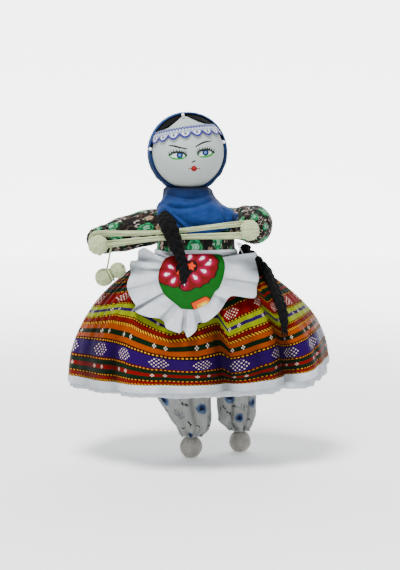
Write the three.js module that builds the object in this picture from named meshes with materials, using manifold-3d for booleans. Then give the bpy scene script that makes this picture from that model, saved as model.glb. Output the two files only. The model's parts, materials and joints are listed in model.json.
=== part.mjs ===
// A stuffed folk doll in a headscarf, brocade skirt and apron, with a skein of wool wound round both hands.
// Millimetres. +Z is up, the doll faces -Y, and +X is the viewer's right, which is the doll's own left.
// The origin lies on the floor, below the middle of the skirt's hem.
import * as THREE from 'three';
import { mergeVertices } from 'three/addons/utils/BufferGeometryUtils.js';
import Module from 'manifold-3d';

const wasm = await Module();
wasm.setup();

// Driving dimensions: clearances and cloth walls
const seatGap = 0.3;
const turnGap = 0.8;
const layerGap = 0.5;
const clothWall = 1.2;
const petticoatGap = 1.0;

// Head
const headX = -12.5;
const headZ = 305;
const headLean = 8;
const headTurn = 6;
const ballRadius = 35;
const coverWall = 1.0;
const hairWall = 0.8;
const laceWall = 0.6;
const hoodWall = 1.4;
const hoodOpening = 79;
const pearlRadius = 1.5;
const pinRadius = 0.4;
const pinLength = 9;

// Neck and torso
const dowelRadius = 4;
const dowelInHead = 22;
const dowelFoot = 222;
const waistZ = 205;
const waistX = -4;
const coreHalfWidth = 37.5;
const coreHalfDepth = 26.5;
const coreBottom = 188;
const neckTopZ = 262;
const bodiceBottom = 200;
const bodiceTop = 250;

// Skirt, petticoat and apron
const hemZ = 78;
const hemHalfWidth = 129.5;
const hemHalfDepth = 90;
const flare = 2.35;
const skirtSides = 60;
// The hem rises at the doll's left, within a reach in degrees, and the petticoat follows by a share
const sideRise = 17;
const sideRiseReach = 46;
const petticoatRiseShare = 0.6;
// Main folds of the skirt as [compass angle, how far the cloth stands out at the hem]: angle 0 is the doll's left
const foldStart = 0.2;
const foldReach = 8;
const skirtFolds = [
  [-150, -3], [-114, 5], [-78, -5], [-48, -6], [-36, 3.5], [-12, -3], [12, 3],
  [36, -3.2], [60, 3], [90, 3.5], [114, -3.2], [138, 3], [162, -2.6], [-168, 3],
];
const hemBandHeight = 9;
const petticoatDrop = 4;
const apronX = -8;
const apronHalfWidth = 33.5;
const apronTopZ = 206;
const apronBottomZ = 152;
const apronWall = 0.8;
const ruffleWidth = 25;
const ruffleWave = 2.6;
const ruffleCount = 9;
const bandHeight = 5;
const bandWall = 1.0;

// Arms and hands
const shoulderZ = 234;
const rightShoulderX = -36;
const leftShoulderX = 33;
const shoulderRadius = 19.5;
const armholeRadius = 23;
const handWidth = 9.6;
const handDepth = 6.4;
const wristRadius = 1.7;
const wristLength = 6.6;
const wireRadius = 0.9;
const rightHandDrop = 5;
const leftHandDrop = 0.5;

// Skein, hanging strand and wool bundle
const yarnDiameter = 1.4;
const yarnPitch = 1.96;
const woundDiameter = 2;
const woundPitch = 2.68;
const woundGap = 0.6;
const skeinTurns = 3;
const skeinLoopSteps = 20;
const waistOffset = 1.15;
const strandDiameter = 1.8;
const strandDrop = 19;
const strandTuck = 6.5;
const lobeRadius = 7.8;
const smallLobeRadius = 6.9;
const lobeSpacing = 15;
const bundleWaist = 4.5;
const bundleLean = 27;

// Legs and feet
const hipZ = 186;
const hipRadius = 15;
const legRodRadius = 2.5;
const footRadius = 11.4;
const footFlat = 1.2;
const legGapX = 14;
const legGap = 0.8;
const trouserTopDrop = 6;
const trouserPleat = 1.1;

// Colours seen in the photograph
const colours = {
  skin: '#d3d6d2', blue: '#2f5ea8', black: '#0e0d0f', lace: '#c9c8de', pearl: '#e6e6ea', wool: '#d8dac6',
  foam: '#f2f2ee', calico: '#d9d2c2', wood: '#b9935f', floral: '#24352d', white: '#dfe3e8', brocade: '#7d2f22',
  print: '#8f1238', steel: '#8d9094', trouser: '#c9ccca',
};

const torsoSides = 24;
const degree = Math.PI / 180;
const v3 = (x, y, z) => new THREE.Vector3(x, y, z);

// Closed geometry from shared points and triangles, turned the right way out.
function closedGeometry(points, triangles) {
  let sixVolumes = 0;
  for (const [a, b, c] of triangles) {
    sixVolumes += points[a].dot(v3(0, 0, 0).crossVectors(points[b], points[c]));
  }
  const index = triangles.flatMap(([a, b, c]) => (sixVolumes < 0 ? [a, c, b] : [a, b, c]));
  const geometry = new THREE.BufferGeometry();
  geometry.setAttribute('position', new THREE.Float32BufferAttribute(points.flatMap((p) => [p.x, p.y, p.z]), 3));
  geometry.setIndex(index);
  geometry.computeVertexNormals();
  return geometry;
}

// Skins a row of rings with the same number of points. A joined row closes on itself; an open one gets end caps.
function skin(rings, joined = false) {
  const count = rings[0].length;
  const points = rings.flat();
  const triangles = [];
  const last = joined ? rings.length : rings.length - 1;
  for (let i = 0; i < last; i += 1) {
    const here = i * count;
    const next = ((i + 1) % rings.length) * count;
    for (let j = 0; j < count; j += 1) {
      const k = (j + 1) % count;
      triangles.push([here + j, here + k, next + k], [here + j, next + k, next + j]);
    }
  }
  if (!joined) {
    for (const [start, flip] of [[0, true], [(rings.length - 1) * count, false]]) {
      const middle = v3(0, 0, 0);
      for (let j = 0; j < count; j += 1) middle.addScaledVector(points[start + j], 1 / count);
      const centre = points.push(middle) - 1;
      for (let j = 0; j < count; j += 1) {
        const k = start + ((j + 1) % count);
        triangles.push(flip ? [centre, k, start + j] : [centre, start + j, k]);
      }
    }
  }
  return closedGeometry(points, triangles);
}

// A thin sheet with four edges: outside(u, v) and inside(u, v) give its two faces for u and v from 0 to 1.
function sheet(outside, inside, across, along) {
  const points = [];
  const at = (side, i, j) => side * (across + 1) * (along + 1) + i * (along + 1) + j;
  for (const face of [outside, inside]) {
    for (let i = 0; i <= across; i += 1) {
      for (let j = 0; j <= along; j += 1) points.push(face(i / across, j / along));
    }
  }
  const triangles = [];
  const quad = (a, b, c, d) => triangles.push([a, b, c], [a, c, d]);
  for (let i = 0; i < across; i += 1) {
    for (let j = 0; j < along; j += 1) {
      quad(at(0, i, j), at(0, i + 1, j), at(0, i + 1, j + 1), at(0, i, j + 1));
      quad(at(1, i, j), at(1, i, j + 1), at(1, i + 1, j + 1), at(1, i + 1, j));
    }
    quad(at(0, i, 0), at(1, i, 0), at(1, i + 1, 0), at(0, i + 1, 0));
    quad(at(0, i, along), at(0, i + 1, along), at(1, i + 1, along), at(1, i, along));
  }
  for (let j = 0; j < along; j += 1) {
    quad(at(0, 0, j), at(0, 0, j + 1), at(1, 0, j + 1), at(1, 0, j));
    quad(at(0, across, j), at(1, across, j), at(1, across, j + 1), at(0, across, j + 1));
  }
  return closedGeometry(points, triangles);
}

function toSolid(geometry) {
  const bare = geometry.index ? geometry.toNonIndexed() : geometry.clone();
  for (const name of Object.keys(bare.attributes)) {
    if (name !== 'position') bare.deleteAttribute(name);
  }
  const merged = mergeVertices(bare, 1e-3);
  return new wasm.Manifold(new wasm.Mesh({
    numProp: 3,
    vertProperties: merged.attributes.position.array,
    triVerts: new Uint32Array(merged.index.array),
  }));
}

function fromSolid(solid) {
  const mesh = solid.getMesh();
  const geometry = new THREE.BufferGeometry();
  geometry.setAttribute('position', new THREE.Float32BufferAttribute(mesh.vertProperties, 3));
  geometry.setIndex([...mesh.triVerts]);
  geometry.computeVertexNormals();
  return geometry;
}

// The geometry with the cutters taken away from it.
function cut(geometry, ...cutters) {
  return fromSolid(cutters.reduce((solid, cutter) => solid.subtract(toSolid(cutter)), toSolid(geometry)));
}

function join(...geometries) {
  const solids = geometries.map(toSolid);
  return fromSolid(solids.slice(1).reduce((sum, solid) => sum.add(solid), solids[0]));
}

// A ball whose facets run round the vertical, or round the line of the hips and shoulders.
function ballAt(centre, radius, segments, rings, sideways = false) {
  const ball = new THREE.SphereGeometry(radius, segments, rings);
  return (sideways ? ball.rotateZ(90 * degree) : ball.rotateX(90 * degree)).translate(centre.x, centre.y, centre.z);
}

// A round bar between two points.
function bar(start, end, radius, sides = 12) {
  const length = start.distanceTo(end);
  const turn = new THREE.Quaternion().setFromUnitVectors(v3(0, 1, 0), end.clone().sub(start).normalize());
  const middle = start.clone().add(end).multiplyScalar(0.5);
  return new THREE.CylinderGeometry(radius, radius, length, sides)
    .applyQuaternion(turn).translate(middle.x, middle.y, middle.z);
}

// A tube along points, with the radius of each point, whose frame is carried along without twist.
function tube(points, radiusOf, sides) {
  const tangent = (i) => points[Math.min(i + 1, points.length - 1)].clone()
    .sub(points[Math.max(i - 1, 0)]).normalize();
  let side = v3(0, 1, 0);
  if (Math.abs(tangent(0).dot(side)) > 0.9) side = v3(1, 0, 0);
  const rings = points.map((point, i) => {
    const forward = tangent(i);
    side = side.clone().addScaledVector(forward, -side.dot(forward)).normalize();
    const up = v3(0, 0, 0).crossVectors(forward, side);
    return Array.from({ length: sides }, (_, j) => {
      const angle = (j / sides) * 2 * Math.PI;
      return point.clone()
        .addScaledVector(side, Math.cos(angle) * radiusOf(i))
        .addScaledVector(up, Math.sin(angle) * radiusOf(i));
    });
  });
  return skin(rings);
}

// A stuffed limb through stations of [x, y, z, radius], with a dome on its far end.
function limb(stations, steps, sides, domeShare = 0.8) {
  const curve = new THREE.CatmullRomCurve3(stations.map(([x, y, z]) => v3(x, y, z)), false, 'centripetal');
  const radii = new THREE.CatmullRomCurve3(stations.map((s, i) => v3(i, s[3], 0)), false, 'catmullrom');
  const points = [];
  const widths = [];
  for (let i = 0; i <= steps; i += 1) {
    points.push(curve.getPoint(i / steps));
    widths.push(radii.getPoint(i / steps).y);
  }
  const end = points[steps].clone();
  const away = end.clone().sub(points[steps - 1]).normalize();
  const endWidth = widths[steps];
  for (const angle of [35, 65]) {
    points.push(end.clone().addScaledVector(away, endWidth * domeShare * Math.sin(angle * degree)));
    widths.push(endWidth * Math.cos(angle * degree));
  }
  return tube(points, (i) => widths[i], sides);
}

// The smallest gap between the turns of a wound tube, measured on its centreline.
function leastGap(points, diameter) {
  const along = [0];
  for (let i = 1; i < points.length; i += 1) along.push(along[i - 1] + points[i].distanceTo(points[i - 1]));
  let least = Infinity;
  for (let i = 0; i < points.length; i += 1) {
    for (let j = i + 1; j < points.length - 1; j += 1) {
      if (along[j] - along[i] < 3 * diameter) continue;
      const nearest = v3(0, 0, 0);
      new THREE.Line3(points[j], points[j + 1]).closestPointToPoint(points[i], true, nearest);
      least = Math.min(least, nearest.distanceTo(points[i]) - diameter);
    }
  }
  return least;
}

function material(colour, roughness, metalness = 0) {
  return new THREE.MeshStandardMaterial({ color: colour, roughness, metalness, side: THREE.DoubleSide });
}

function addMesh(group, name, geometry, finish) {
  const mesh = new THREE.Mesh(geometry, finish);
  mesh.name = name;
  group.add(mesh);
  return mesh;
}

// Head layers, from the foam ball out to the hood
const coverInner = ballRadius + seatGap;
const coverOuter = coverInner + coverWall;
const hairInner = coverOuter + layerGap;
const hairOuter = hairInner + hairWall;
const laceInner = hairOuter + layerGap;
const laceOuter = laceInner + laceWall;
const hoodInner = laceOuter + layerGap;
const hoodOuter = hoodInner + hoodWall;
const headCentre = v3(headX, 0, headZ);
const neckDown = v3(Math.sin(headLean * degree), 0, -Math.cos(headLean * degree));
const dowelTop = headCentre.clone().addScaledVector(neckDown, ballRadius - dowelInHead);
const dowelEnd = headCentre.clone().addScaledVector(neckDown, (headZ - dowelFoot) / Math.cos(headLean * degree));

// A point on a sphere round the head's centre, in the head's own frame: azimuth 0 faces forward.
function onHead(azimuth, elevation, radius) {
  const flat = Math.cos(elevation * degree) * radius;
  return v3(Math.sin(azimuth * degree) * flat, -Math.cos(azimuth * degree) * flat, Math.sin(elevation * degree) * radius);
}

const pins = [
  { name: 'right_pearl_pin', azimuth: -76, elevation: 10 },
  { name: 'left_pearl_pin', azimuth: 74, elevation: 8 },
  { name: 'parting_pearl_pin', azimuth: -6, elevation: 71 },
];

function pinSeat(pin) {
  return pin.name === 'parting_pearl_pin' ? laceOuter : hoodOuter;
}

function pinBar(pin, radius, out) {
  const tip = onHead(pin.azimuth, pin.elevation, pinSeat(pin) - pinLength);
  return bar(tip, onHead(pin.azimuth, pin.elevation, pinSeat(pin) + out), radius, 6);
}

function pearlPin(pin) {
  const pearl = ballAt(onHead(pin.azimuth, pin.elevation, pinSeat(pin) + seatGap + pearlRadius), pearlRadius, 10, 6);
  return join(pearl, pinBar(pin, pinRadius, seatGap + pearlRadius));
}

const pinHoles = pins.map((pin) => pinBar(pin, pinRadius + seatGap, pearlRadius));
const neckBore = bar(v3(0, 0, -hoodOuter - 5), v3(0, 0, -ballRadius + dowelInHead + 1), dowelRadius + seatGap, 12);

// A round shell open at the front, turned about the line through nose and nape.
function frontShell(inner, outer, openingAngle, steps, segments) {
  const profile = [];
  for (let i = 0; i <= steps; i += 1) {
    const angle = (openingAngle + (180 - openingAngle) * (i / steps)) * degree;
    profile.push(new THREE.Vector2(i === steps ? 0 : Math.sin(angle) * outer, -Math.cos(angle) * outer));
  }
  for (let i = steps; i >= 0; i -= 1) {
    const angle = (openingAngle + (180 - openingAngle) * (i / steps)) * degree;
    profile.push(new THREE.Vector2(i === steps ? 0 : Math.sin(angle) * inner, -Math.cos(angle) * inner));
  }
  profile.push(profile[0].clone());
  return mergeVertices(new THREE.LatheGeometry(profile, segments).deleteAttribute('normal').deleteAttribute('uv'), 1e-4);
}

function faceCover() {
  const outer = ballAt(v3(0, 0, 0), coverOuter, 20, 14);
  return cut(outer, ballAt(v3(0, 0, 0), coverInner, 20, 14), neckBore, ...pinHoles);
}

// One side of the parted hair: a curved triangle from the parting down to the temple, under lace and hood.
function hairPanel(side) {
  const innerEdge = (elevation) => 86 - 78 * Math.pow((elevation - 6) / 76, 2.1);
  const face = (radius) => (u, v) => {
    const elevation = 82 - 76 * u;
    const azimuth = innerEdge(elevation) + (102 - innerEdge(elevation)) * v;
    return onHead(side * azimuth, elevation, radius);
  };
  return cut(sheet(face(hairOuter), face(hairInner), 7, 6), ...pinHoles);
}

// The lace band over the brow, with a scalloped lower edge that runs under the hood at both temples.
function laceBand() {
  const scallops = 9;
  const reach = 88;
  const shift = 4.5;
  const highest = 39.8;
  const face = (radius) => (u, v) => {
    const azimuth = reach * (2 * u - 1);
    const droop = 3.5 * (1 - Math.cos(azimuth * degree));
    const scallop = Math.sin((Math.PI * scallops * (azimuth + reach + shift)) / (2 * reach));
    const low = 27.6 - 7.4 * Math.pow(Math.abs(scallop), 0.75);
    return onHead(azimuth, low + (highest - low) * v - droop, radius);
  };
  return cut(sheet(face(laceOuter), face(laceInner), 36, 2), ...pinHoles);
}

const root = new THREE.Group();
const torsoGroup = new THREE.Group();
const headLeanGroup = new THREE.Group();
const headGroup = new THREE.Group();
const armGroup = new THREE.Group();
const legGroup = new THREE.Group();
root.add(torsoGroup, headLeanGroup, armGroup, legGroup);
headLeanGroup.add(headGroup);
headLeanGroup.position.copy(headCentre);
headLeanGroup.rotation.y = -headLean * degree;
headGroup.rotation.z = headTurn * degree;

addMesh(headGroup, 'head_ball', cut(ballAt(v3(0, 0, 0), ballRadius, 20, 14), neckBore, ...pinHoles), material(colours.foam, 0.9));
addMesh(headGroup, 'face_cover', faceCover(), material(colours.skin, 0.8));
addMesh(headGroup, 'right_hair', hairPanel(-1), material(colours.black, 0.9));
addMesh(headGroup, 'left_hair', hairPanel(1), material(colours.black, 0.9));
addMesh(headGroup, 'lace_headband', laceBand(), material(colours.lace, 0.7));
addMesh(
  headGroup,
  'scarf_hood',
  cut(frontShell(hoodInner, hoodOuter, hoodOpening, 9, 26), neckBore, ...pinHoles),
  material(colours.blue, 0.75),
);
for (const pin of pins) addMesh(headGroup, pin.name, pearlPin(pin), material(colours.pearl, 0.25));

// Torso sections as [z, centre x, half-width, half-depth]
const torsoSections = [
  [coreBottom, -2, coreHalfWidth - 12, coreHalfDepth - 8],
  [coreBottom + 5, -3, coreHalfWidth - 3, coreHalfDepth - 2],
  [waistZ, waistX, coreHalfWidth, coreHalfDepth],
  [waistZ + 15, -4, coreHalfWidth - 0.5, coreHalfDepth],
  [waistZ + 30, -4, coreHalfWidth + 0.5, coreHalfDepth - 0.5],
  [waistZ + 41, -5, coreHalfWidth - 4, coreHalfDepth - 4],
  [waistZ + 48, -7, coreHalfWidth - 14, coreHalfDepth - 7],
  [neckTopZ, -8, 16, 15],
];

function torsoAt(z) {
  const rows = torsoSections;
  let i = 0;
  while (i < rows.length - 2 && z > rows[i + 1][0]) i += 1;
  const share = THREE.MathUtils.clamp((z - rows[i][0]) / (rows[i + 1][0] - rows[i][0]), 0, 1);
  return rows[i].map((value, k) => value + (rows[i + 1][k] - value) * share);
}

// A ring round the torso at height z, standing proud of the stuffed core by the given amount.
function torsoRing(z, proud, sides) {
  const [, x, halfWidth, halfDepth] = torsoAt(z);
  return Array.from({ length: sides }, (_, j) => {
    const angle = (j / sides) * 2 * Math.PI;
    return v3(x + (halfWidth + proud) * Math.cos(angle), (halfDepth + proud) * Math.sin(angle), z);
  });
}

// Room for a sleeve to swing: the shoulder ball and the round path outside it.
function armhole(shoulderX, side) {
  const centre = v3(shoulderX, 0, shoulderZ);
  const start = v3(shoulderX + side * 5, 0, shoulderZ);
  const path = bar(start, start.clone().add(v3(side * 40, 0, 0)), armholeRadius, 20);
  return [ballAt(centre, shoulderRadius + turnGap, 20, 10, true), path];
}

const armholes = [...armhole(rightShoulderX, -1), ...armhole(leftShoulderX, 1)];
const dowelHole = bar(dowelEnd.clone().addScaledVector(neckDown, seatGap), dowelTop.clone().addScaledVector(neckDown, -6), dowelRadius + seatGap, 12);
const rightHip = v3(-21, 0, hipZ);
const leftHip = v3(15, 0, hipZ);
const hipSockets = [rightHip, leftHip].map((hip) => ballAt(hip, hipRadius + turnGap, 16, 8, true));

function torsoCore() {
  const heights = torsoSections.map(([z]) => z);
  return cut(skin(heights.map((z) => torsoRing(z, 0, torsoSides))), dowelHole, ...armholes, ...hipSockets);
}

const bodiceInner = seatGap;
const bodiceOuter = bodiceInner + clothWall;

function bodice() {
  const heights = [bodiceBottom, waistZ, waistZ + 15, waistZ + 30, waistZ + 41, bodiceTop];
  const rows = heights.map((z) => torsoRing(z, bodiceOuter, torsoSides));
  const lining = [...heights].reverse().map((z) => torsoRing(z, bodiceInner, torsoSides));
  return cut(skin([...rows, ...lining], true), ...armholes, ...hipSockets);
}

// The scarf's wrap round the neck and over the chest: [z in front, z at the sides, centre x, half-width, half-depth]
const drapeSections = [
  [269, 269, -12, 23, 22],
  [260, 260, -10.5, 26.5, 25],
  [253, 254, -6, 33, 28],
  [243, 248, -1, 41, 31.5],
  [233, 243, -1, 42, 33],
  [226, 239, -2, 41, 32.5],
];
const drapeCorner = 2.5;
const drapeLift = 4;

function drapeRing([frontZ, sideZ, x, halfWidth, halfDepth], proud) {
  const sides = 24;
  return Array.from({ length: sides }, (_, j) => {
    const angle = (j / sides) * 2 * Math.PI;
    const c = Math.cos(angle);
    const s = Math.sin(angle);
    const square = (value) => Math.sign(value) * Math.pow(Math.abs(value), 2 / drapeCorner);
    const z = sideZ + (frontZ - sideZ) * s * s - drapeLift * c * Math.abs(c);
    return v3(x + (halfWidth + proud) * square(c), (halfDepth + proud) * square(s), z);
  });
}

function scarfDrape() {
  const bodyHeights = [bodiceBottom, waistZ, waistZ + 15, waistZ + 30, waistZ + 41, waistZ + 48, neckTopZ, headZ];
  const insideBody = skin(bodyHeights.map((z) => torsoRing(z, bodiceOuter + seatGap, torsoSides)));
  return cut(
    skin(drapeSections.map((section) => drapeRing(section, 0))),
    insideBody,
    ballAt(headCentre, hoodOuter + turnGap, 26, 16),
    ...armholes,
  );
}

addMesh(torsoGroup, 'torso_core', torsoCore(), material(colours.calico, 0.95));
addMesh(torsoGroup, 'neck_dowel', bar(dowelEnd, dowelTop, dowelRadius, 12), material(colours.wood, 0.7));
addMesh(torsoGroup, 'bodice', bodice(), material(colours.floral, 0.8));
addMesh(torsoGroup, 'scarf_drape', scarfDrape(), material(colours.blue, 0.75));

// Skirt layers: each is set in from the skirt's outer face by a fixed step
const skirtInner = clothWall;
const petticoatOuter = skirtInner + petticoatGap;
const petticoatInner = petticoatOuter + clothWall;
const waistSlope = (flare * (hemHalfDepth - coreHalfDepth)) / (waistZ - hemZ);
const skirtWaistProud = bodiceOuter + seatGap + petticoatInner / Math.hypot(1, waistSlope);

// How far down the skirt a height lies: 0 at the waist and 1 at the hem.
const skirtShare = (z) => THREE.MathUtils.clamp((waistZ - z) / (waistZ - hemZ), -0.1, 1.1);

const foldPeak = Math.max(...skirtFolds.map(([, depth]) => depth));
const foldGrowth = (share) => THREE.MathUtils.smoothstep(share, foldStart, 0.95);
const degreesApart = (angle, centre) => THREE.MathUtils.euclideanModulo(angle / degree - centre + 180, 360) - 180;

function skirtWave(angle, share) {
  let wave = 0;
  for (const [centre, depth] of skirtFolds) {
    const away = degreesApart(angle, centre) / foldReach;
    wave += depth * Math.exp(-away * away);
  }
  return wave * foldGrowth(share);
}

function skirtSize(z) {
  const share = Math.min(skirtShare(z), 1);
  const spread = 1 - Math.pow(1 - share, flare);
  const waistWidth = coreHalfWidth + skirtWaistProud;
  const waistDepth = coreHalfDepth + skirtWaistProud;
  return {
    x: waistX * (1 - share),
    halfWidth: waistWidth + (hemHalfWidth - waistWidth) * spread,
    halfDepth: waistDepth + (hemHalfDepth - waistDepth) * spread,
    fold: foldPeak * foldGrowth(share),
  };
}

// How far the cloth of the skirt is lifted where its hem rises towards the doll's left.
function skirtRise(angle, share) {
  const away = degreesApart(angle, 0) / sideRiseReach;
  return sideRise * Math.exp(-away * away) * THREE.MathUtils.smoothstep(share, 0.1, 1);
}

// The height that cloth now at a height would have on a skirt with a level hem.
function levelHeight(angle, z) {
  let level = z;
  for (let i = 0; i < 5; i += 1) level = z - skirtRise(angle, skirtShare(level));
  return level;
}

// How much the skirt's face leans at a height: the part of its outward direction that is level, and the part up.
function skirtLean(z) {
  const slope = Math.max(skirtSize(z - 0.5).halfDepth - skirtSize(z + 0.5).halfDepth, 0);
  const length = Math.hypot(1, slope);
  return { level: 1 / length, up: slope / length };
}

// A point of the gathered skirt at an angle round the doll and a height, set in square to the outer face.
function onSkirt(angle, z, setIn, riseShare) {
  const { x, halfWidth, halfDepth } = skirtSize(z);
  const { level, up } = skirtLean(z);
  const wave = skirtWave(angle, skirtShare(z));
  return v3(
    x + (halfWidth + wave - setIn * level) * Math.cos(angle),
    (halfDepth + wave - setIn * level) * Math.sin(angle),
    z - setIn * up + riseShare * skirtRise(angle, skirtShare(z)),
  );
}

// A gathered cloth tube between two heights, as loops of its cross-section swept round the doll.
function gatheredTube(top, bottom, setIn, wall, steps, riseShare = 1) {
  const heights = Array.from({ length: steps + 1 }, (_, i) => top + (bottom - top) * Math.pow(i / steps, 1.25));
  const loops = Array.from({ length: skirtSides }, (_, j) => {
    const angle = (j / skirtSides) * 2 * Math.PI;
    const outside = heights.map((z) => onSkirt(angle, z, setIn, riseShare));
    const inside = heights.map((z) => onSkirt(angle, z, setIn + wall, riseShare));
    return [...outside, ...inside.reverse()];
  });
  return skin(loops, true);
}

const skirtBottom = hemZ + hemBandHeight;
addMesh(torsoGroup, 'skirt', gatheredTube(waistZ, skirtBottom, 0, clothWall, 5), material(colours.brocade, 0.45));
addMesh(
  torsoGroup,
  'skirt_hem_band',
  gatheredTube(skirtBottom - seatGap, hemZ, 0, clothWall, 1),
  material(colours.white, 0.85),
);
addMesh(
  torsoGroup,
  'petticoat',
  gatheredTube(waistZ, hemZ - petticoatDrop, petticoatOuter, clothWall, 4, petticoatRiseShare),
  material(colours.white, 0.85),
);

function waistband() {
  const low = waistZ + seatGap;
  const rows = [low, low + bandHeight].map((z) => torsoRing(z, bodiceOuter + seatGap + bandWall, torsoSides));
  const back = [low + bandHeight, low].map((z) => torsoRing(z, bodiceOuter + seatGap, torsoSides));
  return skin([...rows, ...back], true);
}

// The apron lies on the peaks of the skirt's folds, and near the waist it spans the narrow top of the skirt.
const apronClear = 0.5;
const apronSpan = 85;
function apronDepth(x, z) {
  const angle = -Math.acos(THREE.MathUtils.clamp((x - waistX) / apronSpan, -1, 1));
  const { x: middle, halfWidth, halfDepth, fold } = skirtSize(levelHeight(angle, z));
  const share = (x - middle) / Math.max(halfWidth + fold + apronClear, apronSpan);
  return -(halfDepth + fold + apronClear) * Math.sqrt(1 - share * share);
}

// Half the printed panel's width at a share of its height, 0 at the waistband and 1 at its round foot.
const panelHalfWidth = (share) => apronHalfWidth * Math.pow(Math.max(1 - Math.pow(share, 2.6), 0), 0.5);

function apronPanel() {
  const face = (proud) => (u, v) => {
    const share = Math.min(u, 0.995);
    const z = apronTopZ + (apronBottomZ - apronTopZ) * share;
    const x = apronX + panelHalfWidth(share) * (2 * v - 1);
    return v3(x, apronDepth(x, z) - proud, z);
  };
  return sheet(face(apronWall), face(0), 7, 8);
}

// The ruffle sewn round the panel: u runs round the edge from one waist corner to the other, v outwards.
function apronRuffle() {
  const face = (proud) => (u, v) => {
    const angle = Math.PI * (1 - u);
    const height = apronTopZ - apronBottomZ;
    const share = Math.pow(Math.sin(angle), 2 / 2.6);
    const edgeX = Math.sign(Math.cos(angle)) * panelHalfWidth(Math.min(share, 0.999));
    const out = v3(Math.cos(angle), 0, -Math.sin(angle));
    const reach = seatGap + 0.4 + ruffleWidth * v;
    const x = apronX + edgeX + out.x * reach;
    const z = apronTopZ - height * share + out.z * reach - 0.6 - 4 * v * Math.abs(Math.cos(angle));
    const wave = ruffleWave * (0.25 + 0.75 * v) * (1 + Math.cos(2 * Math.PI * ruffleCount * u));
    return v3(x, apronDepth(x, z) - proud - wave * v, z);
  };
  return sheet(face(apronWall), face(0), 36, 2);
}

addMesh(torsoGroup, 'apron_waistband', waistband(), material(colours.white, 0.85));
addMesh(torsoGroup, 'apron_panel', apronPanel(), material(colours.print, 0.7));
addMesh(torsoGroup, 'apron_ruffle', apronRuffle(), material(colours.white, 0.85));

// Sleeves: a ball in the armhole, then a stuffed tube out to the cuff
const rightShoulder = v3(rightShoulderX, 0, shoulderZ);
const leftShoulder = v3(leftShoulderX, 0, shoulderZ);
const rightWrist = v3(-99, -30.5, 220);
const leftWrist = v3(47.5, -46.5, 231);
const rightSleeveEnd = [-96, rightWrist.y + wristLength / 2 + 13.5, 218.5, 13.2];
const leftSleeveEnd = [50, leftWrist.y + wristLength / 2 + 9, 231, 15];
const rightSleeveStations = [
  [rightShoulderX - 1, 0, shoulderZ - 0.5, 16],
  [rightShoulderX - 11, -1, shoulderZ - 2.5, 17.2],
  [-64, -5, 227, 18],
  [-80, -9, 223, 16],
  rightSleeveEnd,
];
const leftSleeveStations = [
  [leftShoulderX + 1, 0, shoulderZ, 15],
  [leftShoulderX + 11, -1, shoulderZ, 16.5],
  [52, -10, 234, 18],
  [54, -24, 232.5, 17.5],
  leftSleeveEnd,
];

// A hand: a puffed mitten in front of the wrist that the skein is wound on.
function hand(wrist, drop) {
  const ball = new THREE.SphereGeometry(1, 14, 9).rotateX(90 * degree).scale(handWidth, handDepth, handWidth);
  const y = wrist.y - wristLength / 2 - handDepth * 0.75;
  ball.translate(wrist.x, y, wrist.z - drop);
  const stub = bar(v3(wrist.x, wrist.y + wristLength / 2 + 4, wrist.z), v3(wrist.x, y, wrist.z), wristRadius, 10);
  return join(ball, stub);
}

function wireRoute(stations, wrist) {
  const points = stations.map(([x, y, z]) => v3(x, y, z));
  points.push(v3(wrist.x, wrist.y + wristLength / 2 + 2, wrist.z));
  return new THREE.CatmullRomCurve3(points, false, 'centripetal').getPoints(8);
}

function arm(name, shoulder, stations, wrist, drop) {
  const mitten = hand(wrist, drop);
  const channel = wireRoute(stations, wrist);
  const wire = [channel[0].clone().lerp(channel[1], 0.1), ...channel.slice(1)];
  const cuffSocket = bar(
    v3(wrist.x, wrist.y + wristLength / 2 + 4 + seatGap, wrist.z),
    v3(wrist.x, wrist.y - 40, wrist.z),
    wristRadius + seatGap,
    10,
  );
  const cuffFace = bar(
    v3(wrist.x, wrist.y + wristLength / 2, wrist.z),
    v3(wrist.x, wrist.y - 60, wrist.z),
    30,
    12,
  );
  const sleeve = cut(
    join(ballAt(shoulder, shoulderRadius, 20, 10, true), limb(stations, 7, 16)),
    cuffFace,
    cuffSocket,
    tube(channel, () => wireRadius + seatGap, 6),
  );
  addMesh(armGroup, `${name}_sleeve`, sleeve, material(colours.floral, 0.8));
  const shortWire = cut(tube(wire, () => wireRadius, 6), bar(
    v3(wrist.x, wrist.y + wristLength / 2 + 4 + 2 * seatGap, wrist.z),
    v3(wrist.x, wrist.y - 40, wrist.z),
    8,
    8,
  ));
  addMesh(armGroup, `${name}_arm_wire`, shortWire, material(colours.steel, 0.4, 0.8));
  addMesh(armGroup, `${name}_hand`, mitten, material(colours.wool, 0.9));
}

arm('right', rightShoulder, rightSleeveStations, rightWrist, rightHandDrop);
arm('left', leftShoulder, leftSleeveStations, leftWrist, leftHandDrop);

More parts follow.
